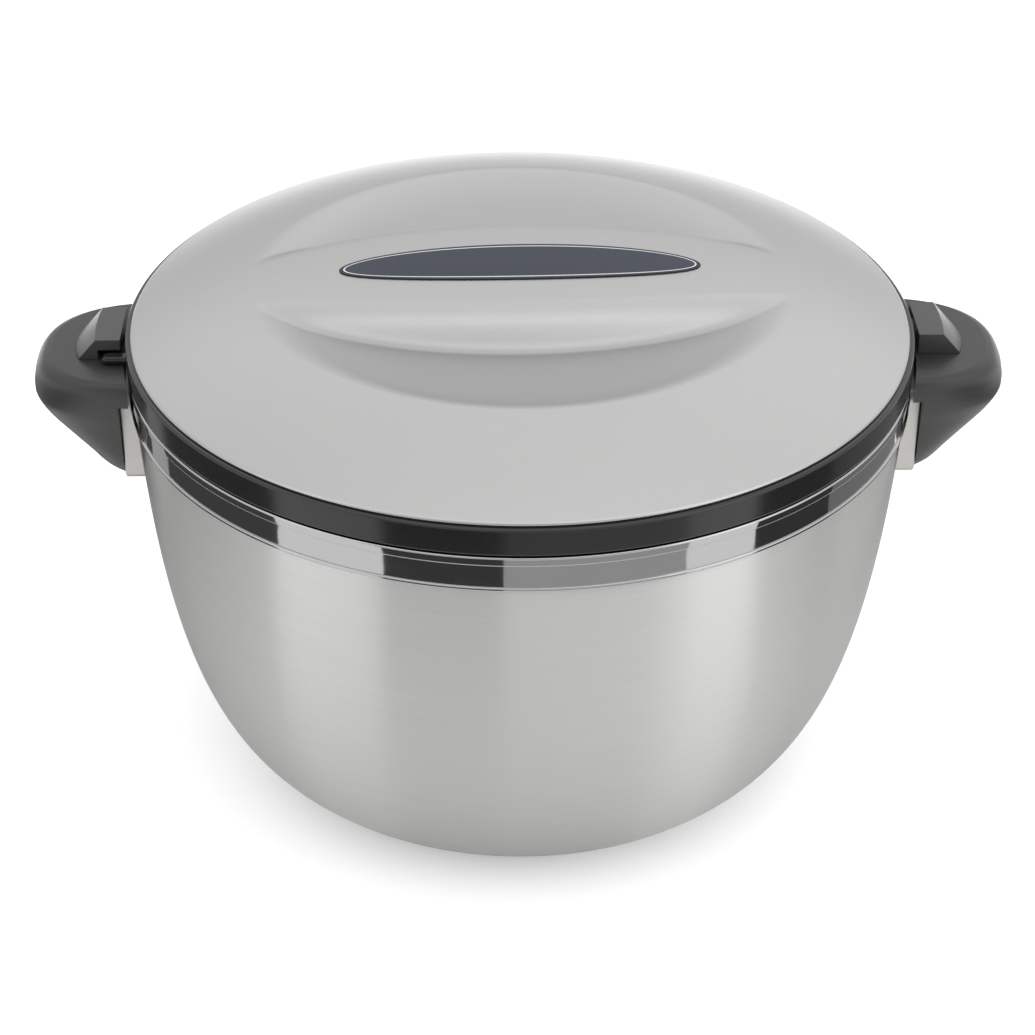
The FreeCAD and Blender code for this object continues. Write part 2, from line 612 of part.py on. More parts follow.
def make_handle_bracket():
    """Steel tray: a flat plate whose edges turn back to the pot and are welded to it."""
    inner_plane = BRACKET_PLANE - BRACKET_PLATE
    depth = 2 * BRACKET_CORNER + BRACKET_PLATE
    low = Vector(BRACKET_PLANE - depth, -BRACKET_HALF_WIDTH, BRACKET_BOTTOM)
    high = Vector(BRACKET_PLANE, BRACKET_HALF_WIDTH, BRACKET_TOP)
    block = box_between(low, high)
    along = [edge for edge in block.Edges if edge.BoundBox.XLength > depth / 2]
    block = block.makeFillet(BRACKET_CORNER, along)
    inset = Vector(0, BRACKET_PLATE, BRACKET_PLATE)
    hollow = box_between(low + inset, high - inset - Vector(BRACKET_PLATE, 0, 0))
    hollow_along = [edge for edge in hollow.Edges if edge.BoundBox.XLength > depth / 3]
    hollow = hollow.makeFillet(BRACKET_CORNER - BRACKET_PLATE, hollow_along)
    band_foot = Vector(0, 0, BAND_BOTTOM - SEAM)
    band_space = Part.makeCylinder(BAND_RADIUS + SEAM, BAND_HEIGHT + 2 * SEAM, band_foot)
    bracket = block.cut(hollow).cut(shell_solid(-SEAM / 2, BAND_TOP)).cut(band_space)
    for place in screw_places():
        start = place - Vector(2 * BRACKET_PLATE, 0, 0)
        hole = Part.makeCylinder(SCREW_RADIUS + SCREW_CLEARANCE, 3 * BRACKET_PLATE, start, Vector(1, 0, 0))
        bracket = bracket.cut(hole)
    return bracket


def make_handle_screws():
    out = Vector(1, 0, 0)
    screws = []
    for place in screw_places():
        tip = place - out * (BRACKET_PLATE + NUT_THICKNESS)
        seat = place + out * SCREW_SEAT
        shank = Part.makeCylinder(SCREW_RADIUS, seat.x - tip.x, tip, out)
        head = Part.makeCylinder(SCREW_HEAD_RADIUS, SCREW_HEAD, seat, out)
        screws.append(shank.fuse(head).removeSplitter())
    return Part.makeCompound(screws)


def make_weld_nuts():
    nuts = []
    half = NUT_SIZE / 2
    for place in screw_places():
        outer = place.x - BRACKET_PLATE
        low = Vector(outer - NUT_THICKNESS, place.y - half, place.z - half)
        high = Vector(outer, place.y + half, place.z + half)
        bore = Part.makeCylinder(SCREW_RADIUS + THREAD_GAP, 2 * NUT_SIZE,
                                 place - Vector(NUT_SIZE, 0, 0), Vector(1, 0, 0))
        nuts.append(box_between(low, high).cut(bore))
    return Part.makeCompound(nuts)


def make_catch():
    """Hood over the lug's path, open towards +Y and walled at its -Y end."""
    half = CATCH_LENGTH / 2
    foot = HANDLE_TOP
    outline = [
        (CATCH_INNER, CATCH_CEILING), (CATCH_INNER, CATCH_TOP - CATCH_EDGE),
        (CATCH_INNER + CATCH_EDGE, CATCH_TOP), (CATCH_SHOULDER, CATCH_TOP),
        (CATCH_OUTER, foot + CATCH_SIDE_HEIGHT), (CATCH_OUTER, foot),
        (CATCH_WALL, foot), (CATCH_WALL, CATCH_CEILING),
    ]
    section = closed_face(straight_edges([Vector(x, -half, z) for x, z in outline]))
    hood = section.extrude(Vector(0, CATCH_LENGTH, 0))
    wall_low = Vector(CATCH_INNER, -half, foot)
    wall_high = Vector(CATCH_WALL, -half + CATCH_END_WALL, CATCH_CEILING)
    plan_axis = Vector(CATCH_OUTER - CATCH_FOOT_RADIUS, 0, 0)
    plan = Part.makeCylinder(CATCH_FOOT_RADIUS, LID_HEIGHT_LIMIT, plan_axis)
    catch = hood.common(plan).fuse(box_between(wall_low, wall_high)).removeSplitter()
    for place in catch_screw_places():
        start = Vector(place.x, place.y, foot - HANDLE_WALL)
        depth = HANDLE_WALL + CATCH_SCREW_GRIP
        catch = catch.cut(Part.makeCylinder(CATCH_SCREW_RADIUS + THREAD_GAP, depth, start))
    return catch


def make_catch_screws():
    screws = []
    for place in catch_screw_places():
        seat = Vector(place.x, place.y, HANDLE_TOP - HANDLE_WALL)
        shank = Part.makeCylinder(CATCH_SCREW_RADIUS, HANDLE_WALL + CATCH_SCREW_GRIP, seat)
        head_base = seat - Vector(0, 0, CATCH_SCREW_HEAD)
        head = Part.makeCylinder(CATCH_SCREW_HEAD_RADIUS, CATCH_SCREW_HEAD, head_base)
        screws.append(shank.fuse(head).removeSplitter())
    return Part.makeCompound(screws)


# --- Assembly -----------------------------------------------------------------------------
def build():
    nodes = {
        "outer_shell": make_outer_shell(),
        "rim_band": make_rim_band(),
        "inner_bowl": make_inner_bowl(),
        "body_collar": make_body_collar(),
        "body_insulation": make_body_insulation(),
        "base_cover": make_base_cover(),
        "filler_plug": make_filler_plug(),
        "lid_seal": make_lid_seal(),
        "lid_rim": make_lid_rim(),
        "lid_cover": make_lid_cover(),
        "lid_insulation": make_lid_insulation(),
        "lid_liner": make_lid_liner(),
        "badge_plate": make_badge_plate(),
        "badge_line": make_badge_line(),
    }
    sided = {
        "handle": make_handle(),
        "handle_bracket": make_handle_bracket(),
        "handle_screws": make_handle_screws(),
        "weld_nuts": make_weld_nuts(),
        "catch": make_catch(),
        "catch_screws": make_catch_screws(),
    }
    for name, shape in sided.items():
        nodes[name + "_right"] = shape
        nodes[name + "_left"] = other_side(shape)
    return nodes


def main():
    os.makedirs("parts", exist_ok=True)
    for name, shape in build().items():
        shape.exportStep(os.path.join("parts", name + ".step"))


main()
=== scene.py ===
"""Looks of the insulated serving casserole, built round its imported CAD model.

The meshes are worked out in millimetres and written in metres. +Z is up, +X points to the right
handle and the front faces -Y. Left-hand pieces are the right-hand ones after half a turn.
"""
import json
import math

import bpy
import numpy as np
from mathutils import Matrix, Vector


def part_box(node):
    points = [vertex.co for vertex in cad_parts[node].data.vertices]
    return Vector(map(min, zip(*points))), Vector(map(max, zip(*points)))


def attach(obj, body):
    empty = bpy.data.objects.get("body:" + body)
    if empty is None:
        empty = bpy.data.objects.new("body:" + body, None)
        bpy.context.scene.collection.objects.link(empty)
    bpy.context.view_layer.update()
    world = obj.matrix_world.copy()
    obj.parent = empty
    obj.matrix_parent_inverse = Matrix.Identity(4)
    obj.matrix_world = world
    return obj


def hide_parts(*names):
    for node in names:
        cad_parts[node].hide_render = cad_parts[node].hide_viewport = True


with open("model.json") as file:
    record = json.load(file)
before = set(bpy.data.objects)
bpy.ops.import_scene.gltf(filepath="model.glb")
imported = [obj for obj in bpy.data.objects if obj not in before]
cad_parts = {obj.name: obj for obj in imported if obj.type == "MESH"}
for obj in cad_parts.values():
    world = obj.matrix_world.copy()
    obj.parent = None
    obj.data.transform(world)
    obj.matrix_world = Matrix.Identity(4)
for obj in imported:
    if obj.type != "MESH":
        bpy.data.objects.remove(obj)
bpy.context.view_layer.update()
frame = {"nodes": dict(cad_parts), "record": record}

MM = 0.001
SHEET = 0.6                    # thickness of the steel sheet
SEAM = 0.1                     # gap in a glued or foamed joint
TURN_STEPS = 360               # facets round a turned piece
ARC_STEPS = 5                  # facets of a rounded corner
WALL_STEPS = 90                # points up the shell's wall
SHARP_ANGLE = 35.0             # edges steeper than this look sharp, in degrees
SHARP_ANGLE_PRESSED = 50.0     # the same on pressed steel and on foam
SHARP_ANGLE_BEVELLED = 60.0    # the same on a piece with softened edges
BEVEL_SEGMENTS = 3


# --- Sizes that the frame gives, in millimetres -----------------------
def low_mm(node):
    """Low corner of a CAD node's box."""
    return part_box(node)[0] / MM


def high_mm(node):
    """High corner of a CAD node's box."""
    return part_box(node)[1] / MM


SHELL_RADIUS = high_mm("outer_shell").x
SHELL_BOTTOM = low_mm("outer_shell").z
SHELL_TOP = high_mm("outer_shell").z
BASE_RADIUS = high_mm("base_cover").x
BAND_RADIUS = high_mm("rim_band").x
BAND_BOTTOM = low_mm("rim_band").z
BAND_TOP = high_mm("rim_band").z
RIM_RADIUS = high_mm("lid_rim").y
RIM_BOTTOM = low_mm("lid_rim").z
COVER_EDGE = low_mm("lid_cover").z + SHEET
COVER_RADIUS = high_mm("lid_cover").x
CROWN = high_mm("lid_cover").z
LUG_TIP = high_mm("lid_rim").x
CATCH_LOW = low_mm("catch_right")
CATCH_HIGH = high_mm("catch_right")
HANDLE_LOW = low_mm("handle_right")
HANDLE_HIGH = high_mm("handle_right")
BRACKET_PLANE = high_mm("handle_bracket_right").x
BRACKET_TOP = high_mm("handle_bracket_right").z
BRACKET_BOTTOM = low_mm("handle_bracket_right").z
BRACKET_HALF_WIDTH = high_mm("handle_bracket_right").y

# --- Sizes that only the looks use, in millimetres --------------------
SHELL_LIP_RADIUS = 82.0        # hole in the bottom of the shell
HEEL = (17.4, 11.4)            # how the shell's wall leaves its base
BELLY = (5.4, 18.5)            # how the shell's wall comes up to the band
BAND_PROUD = 0.8               # band's plain face outside the shell
BEAD_HEIGHT = 3.4
BEAD_RISE = 0.3                # height over which the bead's underside comes out
BEAD_CORNERS = (0.25, 0.4, 0.7)  # its roundings against the face, below and above
LIP_HEIGHT = 1.5
LIP_CORNERS = (0.45, 0.5, 0.08)  # roundings of the lip below, above and against the face
BAND_TURN_IN = 1.2             # how far the band goes in over the top of the shell
BAND_TURN_IN_CORNER = 0.2

# Lid
DOME_FLAT = 82.0               # how far the dome leaves its crown level
DOME_SHOULDER = (112.0, 8.9)   # distance from the axis and drop, where it bends to its edge
BRIDGE_HALF_WIDTH = 33.0       # bridge between the two finger recesses, at its middle
BRIDGE_EDGE_RADIUS = 225.0
BRIDGE_SLOPE = 1.0             # run of the bridge's flank for each millimetre of drop
RECESS_DEPTH = 12.3            # floor of a recess below the crown
RECESS_RADIUS = 93.0           # outer edge of the finger recesses
RECESS_FORM = ((30.0, 0.0), (80.0, 0.0), (RECESS_RADIUS, 6.8))   # distance and rise of its floor
LID_TWIST = 1.3                # degrees by which the bridge is turned from the handles
BRIDGE_SOFTNESS = 5.0          # rounding of the bridge's edges
BRIDGE_NEAR = 6.0              # height over which that rounding gives way to the recess's own
RECESS_SOFTNESS = (1.5, 4.0)   # rounding of a recess's rim at its middle and at its ends
VALLEY_SOFTNESS = 2.2          # rounding where the bridge's flank meets the recess floor
PROFILE_STEPS = 400            # points on the curves of the dome and of a recess floor
COVER_ROLL = 0.6               # rounding of the steel's edge
COVER_ROLL_STEPS = 4
COVER_STEP = 0.9               # distance between the rings of points on top of the steel
COVER_STEPS_ROUND = 480
COVER_BACK_STEP = 2.0          # the same on its underside
FOAM_STEP = 2.0
FOAM_STEPS_ROUND = 240
RIM_WALL = 4.7                 # wall of the lid's black ring
RIM_SHELF = 2.2                # thickness of the shelf that carries the steel
RIM_SHELF_WIDTH = 5.4
RIM_CREST_WIDTH = 1.7          # top of the ring that stays bare outside the steel
RIM_CREST_DROP = 1.1           # top of the ring below the edge of the steel
RIM_CORNERS = (0.8, 0.9)       # rounding of the ring's outside, below and above
COVER_SEAT = 0.7               # how deep the steel sits in the ring
FOAM_DISH_RADIUS = 125.7       # lid's foam inside the dish of the liner
FOAM_SHELF_RADIUS = 130.9      # lid's foam inside the shelf of the ring
FOAM_CORNER = 3.2              # rounding of the lid's foam in the corner of the liner
BADGE_LENGTH = 128.8
BADGE_WIDTH = 27.0
BADGE_THICKNESS = 0.45
BADGE_EDGE = 0.25              # rounding of the badge's edge
BADGE_LINE_INSET = 1.5         # silver line inside the badge's outline
BADGE_LINE_WIDTH = 0.6
BADGE_LINE_PROUD = 0.06
BADGE_RINGS = 12
BADGE_STEPS_ROUND = 180
LUG_WIDTH = 4.4
LUG_NEAR = 13.0                # near side of the right lug from the middle of the handle
LUG_THICKNESS = 3.0
LUG_CLEARANCE = 0.3            # lug above the top of the handle
LUG_BEVEL = 1.3

# Handles
HANDLE_FORM = (                # shares of its height, of its reach past the neck and of its width
    (0.00, 0.00, 0.79), (0.06, 0.20, 0.84), (0.17, 0.37, 0.865), (0.33, 0.63, 0.875),
    (0.50, 0.88, 0.90), (0.65, 1.00, 0.95), (0.79, 0.98, 0.985), (0.90, 0.93, 1.00),
    (0.97, 0.84, 0.98), (1.00, 0.72, 0.93),
)
HANDLE_HALF_WIDTH = 33.0
HANDLE_NECK_REACH = 7.0        # foot of the handle outside the bracket
HANDLE_ROUNDNESS = (2.3, 2.5)  # exponent of the outline from above, at the foot and at the top
HANDLE_ROOT_DEPTH = 14.0       # axis of the handle's outline inside the bracket's plane
HANDLE_CLEARANCE = 1.2         # handle outside the lid's ring
HANDLE_BEVEL = 0.5
HANDLE_SIDE_STEPS = 56
HANDLE_ROOT_STEPS = 16
HANDLE_LEVEL_STEPS = 5
HANDLE_LEVEL_GAP = 0.01        # share of its height left out next to the top of the bracket
ROOT_HALVINGS = 40             # steps to the corner between the handle's outline and its back
SCREW_SPACING = 22.0
SCREW_SEAT = 6.8               # seat of a screw's head outside the bracket
SCREW_WELL_RADIUS = 4.0
WELL_STEPS = 32

# Catches
CATCH_ROOF = 4.2               # thickness over the slot
CATCH_BEVEL = 0.8
CATCH_ROOF_WIDTH = 9.6
CATCH_WALL_WIDTH = 9.4         # wall outside the slot
CATCH_END_WALL = 2.2
CATCH_SIDE_HEIGHT = 0.6        # upright foot under the slope
CATCH_BULGE = 2.5              # how far the foot of the slope bows out in plan
CATCH_SHOULDER_BULGE = 0.8     # the same at the top of the slope
CATCH_STATIONS = 17
CUT_SPARE = 1.0                # how far a cutting block stands out of what it cuts

# Brackets
BRACKET_CORNER = 4.0
BRACKET_FOLD = 0.6             # rounding of the tray's folds
BRACKET_DEPTH = 9.0

# --- Camera -----------------------------------------------------------
CAMERA_TURN = -91.40           # degrees from +X to the camera, seen from above
CAMERA_PITCH = 32.77           # degrees above the table
CAMERA_ROLL = 0.27
CAMERA_DISTANCE = 0.9584       # metres from its target
CAMERA_TARGET = Vector((-0.0006, 0, 0.0889))
CAMERA_LENS = 88.14            # focal length in millimetres


def direction(turn, rise):
    """Unit vector that points turn degrees round from +X and rise degrees up."""
    turn = math.radians(turn)
    rise = math.radians(rise)
    return Vector((math.cos(turn) * math.cos(rise), math.sin(turn) * math.cos(rise), math.sin(rise)))


def make_camera():
    """Camera on the pot's front side, looking down at it, a little rolled."""
    back = direction(CAMERA_TURN, CAMERA_PITCH)
    data = bpy.data.cameras.new("camera")
    data.lens = CAMERA_LENS
    camera = bpy.data.objects.new("camera", data)
    look = (-back).to_track_quat("-Z", "Y").to_matrix().to_4x4()
    roll = Matrix.Rotation(math.radians(CAMERA_ROLL), 4, "Z")
    camera.matrix_world = Matrix.Translation(CAMERA_TARGET + back * CAMERA_DISTANCE) @ look @ roll
    bpy.context.scene.collection.objects.link(camera)
    bpy.context.scene.camera = camera


# --- Node helpers -----------------------------------------------------
def new_material(name):
    """A material and its Principled shader."""
    material = bpy.data.materials.new(name)
    material.use_nodes = True
    nodes = material.node_tree.nodes
    shader = next(node for node in nodes if node.type == "BSDF_PRINCIPLED")
    return material, shader


def add_node(tree, kind, **values):
    node = tree.nodes.new(kind)
    for name, value in values.items():
        setattr(node, name, value)
    return node


def link(tree, source, target):
    tree.links.new(source, target)


def noise(tree, scale, stretch=(1, 1, 1), detail=3.0, rough=0.5):
    """Noise over the object's own coordinates, stretched along its axes."""
    place = add_node(tree, "ShaderNodeTexCoord")
    mapping = add_node(tree, "ShaderNodeMapping")
    mapping.inputs["Scale"].default_value = stretch
    texture = add_node(tree, "ShaderNodeTexNoise")
    texture.inputs["Scale"].default_value = scale
    texture.inputs["Detail"].default_value = detail
    texture.inputs["Roughness"].default_value = rough
    link(tree, place.outputs["Object"], mapping.inputs["Vector"])
    link(tree, mapping.outputs["Vector"], texture.inputs["Vector"])
    return texture.outputs["Fac"]


def remap(tree, value, low, high, start=0.25, end=0.75):
    """A value between start and end, as a number from low to high."""
    node = add_node(tree, "ShaderNodeMapRange")
    node.inputs["From Min"].default_value = start
    node.inputs["From Max"].default_value = end
    node.inputs["To Min"].default_value = low
    node.inputs["To Max"].default_value = high
    link(tree, value, node.inputs["Value"])
    return node.outputs["Result"]


def blend_colours(tree, value, first, second):
    """The first colour where the value is 0, the second where it is 1."""
    node = add_node(tree, "ShaderNodeMix", data_type="RGBA")
    node.inputs["A"].default_value = (*first, 1)
    node.inputs["B"].default_value = (*second, 1)
    link(tree, value, node.inputs["Factor"])
    return node.outputs["Result"]


def scaled(colour, factor):
    return tuple(factor * channel for channel in colour)


def add_bump(tree, shader, height, depth, strength=1.0):
    node = add_node(tree, "ShaderNodeBump")
    node.inputs["Distance"].default_value = depth
    node.inputs["Strength"].default_value = strength
    link(tree, height, node.inputs["Height"])
    link(tree, node.outputs["Normal"], shader.inputs["Normal"])


# --- Materials --------------------------------------------------------
HAIRLINES_ROUND = (14, 14, 2600)      # hairlines of turned steel, round the pot's axis
HAIRLINES_ACROSS = (16, 2200, 2200)   # hairlines of the lid, from left to right
HAIRLINE_DEPTH = 0.000004
SMEARS = 60.0                         # scale and stretch of the smears on polished steel
SMEAR_STRETCH = (1, 1, 3)
WAVES = 55.0                          # scale and stretch of the waves in polished steel
WAVE_STRETCH = (1, 1, 2.2)
RECESS_SHADE_RANGE = (0.05, 0.6)             # shares of the recess depth over which painted shade darkens the lid's steel
GRAINS_PER_CLOUD = 60                 # broad colour clouds of a plastic against its fine grain
BADGE_RIM = (0.955, 0.98)             # shares of the badge's size over which its dark rim starts
BADGE_SLATE = (0.022, 0.029, 0.05)
BADGE_DARK = (0.013, 0.015, 0.02)
BADGE_MARKS = 400.0                   # scale of the rougher and smoother spots on the enamel
FOAM_CELLS = 900.0
FOAM_CELL_DEPTH = 0.0004
FOAM_LIGHT = (0.75, 0.66, 0.42)
FOAM_DARK = (0.6, 0.5, 0.3)


def brushed_steel(name, colour, rough, stretch, anisotropy, contrast, recess_shade, edge):
    """Satin steel with hairlines, which run across the axes with a large scale.

    Where a recess is deep its colour is darkened to a share of itself, which is painted shade,
    and it keeps a share of its reflection, edge, where it is seen along its surface.
    """
    material, shader = new_material(name)
    tree = material.node_tree
    hairlines = noise(tree, 1.0, stretch, detail=4.0, rough=0.6)
    tone = remap(tree, hairlines, 0.0, 1.0)
    colours = blend_colours(tree, tone, scaled(colour, 1 - contrast), scaled(colour, 1 + contrast))
    # Painted shade: the colour darkens towards the floor of the lid's recesses, by the depth stored on
    # its points.
    if recess_shade < 1:
        depth = add_node(tree, "ShaderNodeAttribute", attribute_name="painted_shade_depth")
        painted_shade = remap(tree, depth.outputs["Fac"], 1.0, recess_shade, *RECESS_SHADE_RANGE)
        toned = add_node(tree, "ShaderNodeVectorMath", operation="SCALE")
        link(tree, colours, toned.inputs[0])
        link(tree, painted_shade, toned.inputs["Scale"])
        colours = toned.outputs["Vector"]
    link(tree, colours, shader.inputs["Base Color"])
    link(tree, remap(tree, hairlines, rough * 1.08, rough * 0.92), shader.inputs["Roughness"])
    shader.inputs["Metallic"].default_value = 1.0
    shader.inputs["Specular Tint"].default_value = (edge, edge, edge, 1)
    shader.inputs["Anisotropic"].default_value = anisotropy
    if anisotropy > 0:
        shader.inputs["Anisotropic Rotation"].default_value = 0.25
        tangent = add_node(tree, "ShaderNodeTangent", direction_type="RADIAL", axis="Z")
        link(tree, tangent.outputs["Tangent"], shader.inputs["Tangent"])
    add_bump(tree, shader, hairlines, HAIRLINE_DEPTH, 0.6)
    return material


def mirror_steel(name, colour, rough, wave):
    """Polished steel with faint smears and slow waves in its surface."""
    material, shader = new_material(name)
    tree = material.node_tree
    smears = noise(tree, SMEARS, SMEAR_STRETCH, detail=4.0)
    colours = blend_colours(tree, remap(tree, smears, 0, 1), scaled(colour, 0.97), colour)
    link(tree, colours, shader.inputs["Base Color"])
    link(tree, remap(tree, smears, rough * 0.7, rough * 1.4), shader.inputs["Roughness"])
    shader.inputs["Metallic"].default_value = 1.0
    add_bump(tree, shader, noise(tree, WAVES, WAVE_STRETCH, detail=1.0), wave)
    return material


def moulded_plastic(name, colour, rough, grain, depth):
    """Moulded plastic with a fine surface grain."""
    material, shader = new_material(name)
    tree = material.node_tree
    fine = noise(tree, grain, detail=2.0)
    broad = noise(tree, grain / GRAINS_PER_CLOUD, detail=2.0)
    colours = blend_colours(tree, remap(tree, broad, 0, 1), scaled(colour, 0.94), scaled(colour, 1.06))
    link(tree, colours, shader.inputs["Base Color"])
    link(tree, remap(tree, fine, rough * 0.9, rough * 1.1), shader.inputs["Roughness"])
    add_bump(tree, shader, fine, depth)
    return material


def badge_enamel():
    """Slate enamel that is darker along its outer edge."""
    material, shader = new_material("badge_enamel")
    tree = material.node_tree
    place = add_node(tree, "ShaderNodeTexCoord")
    turn = add_node(tree, "ShaderNodeMapping")
    turn.inputs["Rotation"].default_value = (0, 0, -math.radians(LID_TWIST))
    shrink = add_node(tree, "ShaderNodeMapping")
    shrink.inputs["Scale"].default_value = (2 / BADGE_LENGTH / MM, 2 / BADGE_WIDTH / MM, 0)
    length = add_node(tree, "ShaderNodeVectorMath", operation="LENGTH")
    link(tree, place.outputs["Object"], turn.inputs["Vector"])
    link(tree, turn.outputs["Vector"], shrink.inputs["Vector"])
    link(tree, shrink.outputs["Vector"], length.inputs[0])
    edge = remap(tree, length.outputs["Value"], 0, 1, *BADGE_RIM)
    colours = blend_colours(tree, edge, BADGE_SLATE, BADGE_DARK)
    link(tree, colours, shader.inputs["Base Color"])
    shader.inputs["Specular IOR Level"].default_value = 0.25
    link(tree, remap(tree, noise(tree, BADGE_MARKS), 0.26, 0.34), shader.inputs["Roughness"])
    return material


def foam():
    """Rigid foam with fine cells."""
    material, shader = new_material("foam")
    tree = material.node_tree
    cells = add_node(tree, "ShaderNodeTexVoronoi")
    cells.inputs["Scale"].default_value = FOAM_CELLS
    place = add_node(tree, "ShaderNodeTexCoord")
    link(tree, place.outputs["Object"], cells.inputs["Vector"])
    colours = blend_colours(tree, cells.outputs["Distance"], FOAM_LIGHT, FOAM_DARK)
    link(tree, colours, shader.inputs["Base Color"])
    shader.inputs["Roughness"].default_value = 0.9
    add_bump(tree, shader, cells.outputs["Distance"], FOAM_CELL_DEPTH)
    return material


BRUSHED_STEELS = {             # colour, roughness, hairlines, anisotropy, contrast, share of colour kept under painted recess shade, edge
    "satin_steel": ((0.64, 0.638, 0.628), 0.36, HAIRLINES_ROUND, 1.0, 0.03, 1.0, 0.5),
    # The lid's steel darkens to 0.87 of its colour deep in its recesses, as painted shade.
    "lid_steel": ((0.49, 0.49, 0.487), 0.36, HAIRLINES_ACROSS, 0.0, 0.02, 0.87, 1.0),
    "bowl_steel": ((0.58, 0.58, 0.57), 0.3, HAIRLINES_ROUND, 0.5, 0.03, 1.0, 1.0),
    "bracket_steel": ((0.58, 0.565, 0.54), 0.45, HAIRLINES_ROUND, 0.0, 0.03, 1.0, 1.0),
}
MIRROR_STEELS = {              # colour, roughness, depth of the waves in metres
    "polished_steel": ((0.46, 0.46, 0.46), 0.05, 0.00004),
    "screw_steel": ((0.5, 0.5, 0.5), 0.25, 0.00001),
    "badge_silver": ((0.8, 0.8, 0.81), 0.22, 0.000005),
}
PLASTICS = {                   # colour, roughness, scale of the grain, its depth in metres
    "gloss_black": ((0.014, 0.014, 0.015), 0.16, 500.0, 0.000002),
    "black_plastic": ((0.02, 0.02, 0.021), 0.4, 1200.0, 0.00001),
    "base_plastic": ((0.03, 0.03, 0.031), 0.5, 1500.0, 0.00002),
    "handle_plastic": ((0.032, 0.032, 0.031), 0.38, 1800.0, 0.00001),
    "catch_plastic": ((0.05, 0.05, 0.049), 0.33, 1800.0, 0.00001),
    "silicone": ((0.5, 0.5, 0.49), 0.55, 700.0, 0.00001),
}


def make_materials():
    made = {"badge_enamel": badge_enamel(), "foam": foam()}
    for make, looks in (
        (brushed_steel, BRUSHED_STEELS), (mirror_steel, MIRROR_STEELS), (moulded_plastic, PLASTICS),
    ):
        for name, values in looks.items():
            made[name] = make(name, *values)
    return made


def dress_cad(materials):
    """Give every CAD node the material of its slot in the record."""
    for part in frame["record"]["subparts"]:
        node = frame["nodes"][part["node"]]
        node.data.materials.clear()
        node.data.materials.append(materials[part["material_slot"]])


# --- Mesh helpers -----------------------------------------------------
def grid_faces(rings, around, closed):
    """Quads between neighbouring rings of points, and fans to the last two points if not closed."""
    faces = []
    for ring in range(rings if closed else rings - 1):
        first = ring * around
        second = (ring + 1) % rings * around
        for step in range(around):
            after = (step + 1) % around
            faces.append((first + step, first + after, second + after, second + step))
    if not closed:
        start, end = rings * around, rings * around + 1
        last = (rings - 1) * around
        for step in range(around):
            after = (step + 1) % around
            faces.append((after, step, start))
            faces.append((last + step, last + after, end))
    return faces


def solid_of_rings(name, rings, closed):
    """Closed mesh over rings of points in millimetres, shaped (rings, points round, 3)."""
    count, around = rings.shape[:2]
    points = rings.reshape(-1, 3)
    if not closed:
        points = np.vstack([points, rings[0].mean(0), rings[-1].mean(0)])
    mesh = bpy.data.meshes.new(name)
    mesh.from_pydata((points * MM).tolist(), [], grid_faces(count, around, closed))
    mesh.validate()
    piece = bpy.data.objects.new(name, mesh)
    bpy.context.scene.collection.objects.link(piece)
    outward(mesh)
    return piece


def outward(mesh):
    """Turn the faces of a closed mesh outwards."""
    mesh.update()
    corners = np.array([v.co for v in mesh.vertices])
    mesh.calc_loop_triangles()
    triangles = np.array([t.vertices for t in mesh.loop_triangles])
    a, b, c = (corners[triangles[:, i]] for i in range(3))
    if np.einsum("ij,ij->i", a, np.cross(b, c)).sum() < 0:
        mesh.flip_normals()


def turned(name, profile):
    """Turn a closed profile of (radius, height) points about the pot's axis."""
    profile = np.array(profile)
    angles = np.linspace(0, 2 * math.pi, TURN_STEPS, endpoint=False)
    rings = np.empty((len(profile), TURN_STEPS, 3))
    rings[:, :, 0] = profile[:, :1] * np.cos(angles)
    rings[:, :, 1] = profile[:, :1] * np.sin(angles)
    rings[:, :, 2] = profile[:, 1:]
    return solid_of_rings(name, rings, True)


def rounded(corners):
    """Closed outline of (across, up, corner radius) points, with its corners as arcs."""
    outline = []
    for index, (x, z, radius) in enumerate(corners):
        here = np.array([x, z])
        before = np.array(corners[index - 1][:2]) - here
        after = np.array(corners[(index + 1) % len(corners)][:2]) - here
        if radius == 0:
            outline.append(here)
            continue
        before /= np.linalg.norm(before)
        after /= np.linalg.norm(after)
        half = math.acos(np.clip(before @ after, -1, 1)) / 2
        middle = (before + after) / np.linalg.norm(before + after)
        centre = here + middle * radius / math.sin(half)
        start = here + before * radius / math.tan(half) - centre
        end = here + after * radius / math.tan(half) - centre
        swing = math.pi - 2 * half
        for step in range(ARC_STEPS + 1):
            share = step / ARC_STEPS
            arm = start * math.sin((1 - share) * swing) + end * math.sin(share * swing)
            outline.append(centre + arm / math.sin(swing))
    return outline


def bezier(poles, steps):
    """Points along a cubic curve of four poles."""
    share = np.linspace(0, 1, steps)[:, None]
    poles = np.array(poles, float)
    weights = ((1 - share) ** 3, 3 * share * (1 - share) ** 2, 3 * share ** 2 * (1 - share), share ** 3)
    return sum(weight * pole for weight, pole in zip(weights, poles))


def offset_line(line, distance):
    """A line of (radius, height) points moved sideways, to its left."""
    along = np.gradient(line, axis=0)
    normals = np.stack([-along[:, 1], along[:, 0]], axis=1)
    return line + distance * normals / np.linalg.norm(normals, axis=1)[:, None]


def finish_piece(piece, body, slot, materials, nodes=(), sharp=SHARP_ANGLE, bevel=0.0):
    """Shade the piece, give it its material and body, and let it stand for its CAD nodes."""
    piece.data.shade_smooth()
    piece.data.materials.append(materials[slot])
    if bevel > 0:
        edge = piece.modifiers.new("soft_edges", "BEVEL")
        edge.width = bevel * MM
        edge.segments = BEVEL_SEGMENTS
        edge.limit_method = "ANGLE"
        edge.angle_limit = math.radians(sharp)
    piece.data.set_sharp_from_angle(angle=math.radians(SHARP_ANGLE_BEVELLED if bevel > 0 else sharp))
    even = piece.modifiers.new("even_normals", "WEIGHTED_NORMAL")
    even.keep_sharp = True
    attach(piece, body)
    if nodes:
        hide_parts(*nodes)


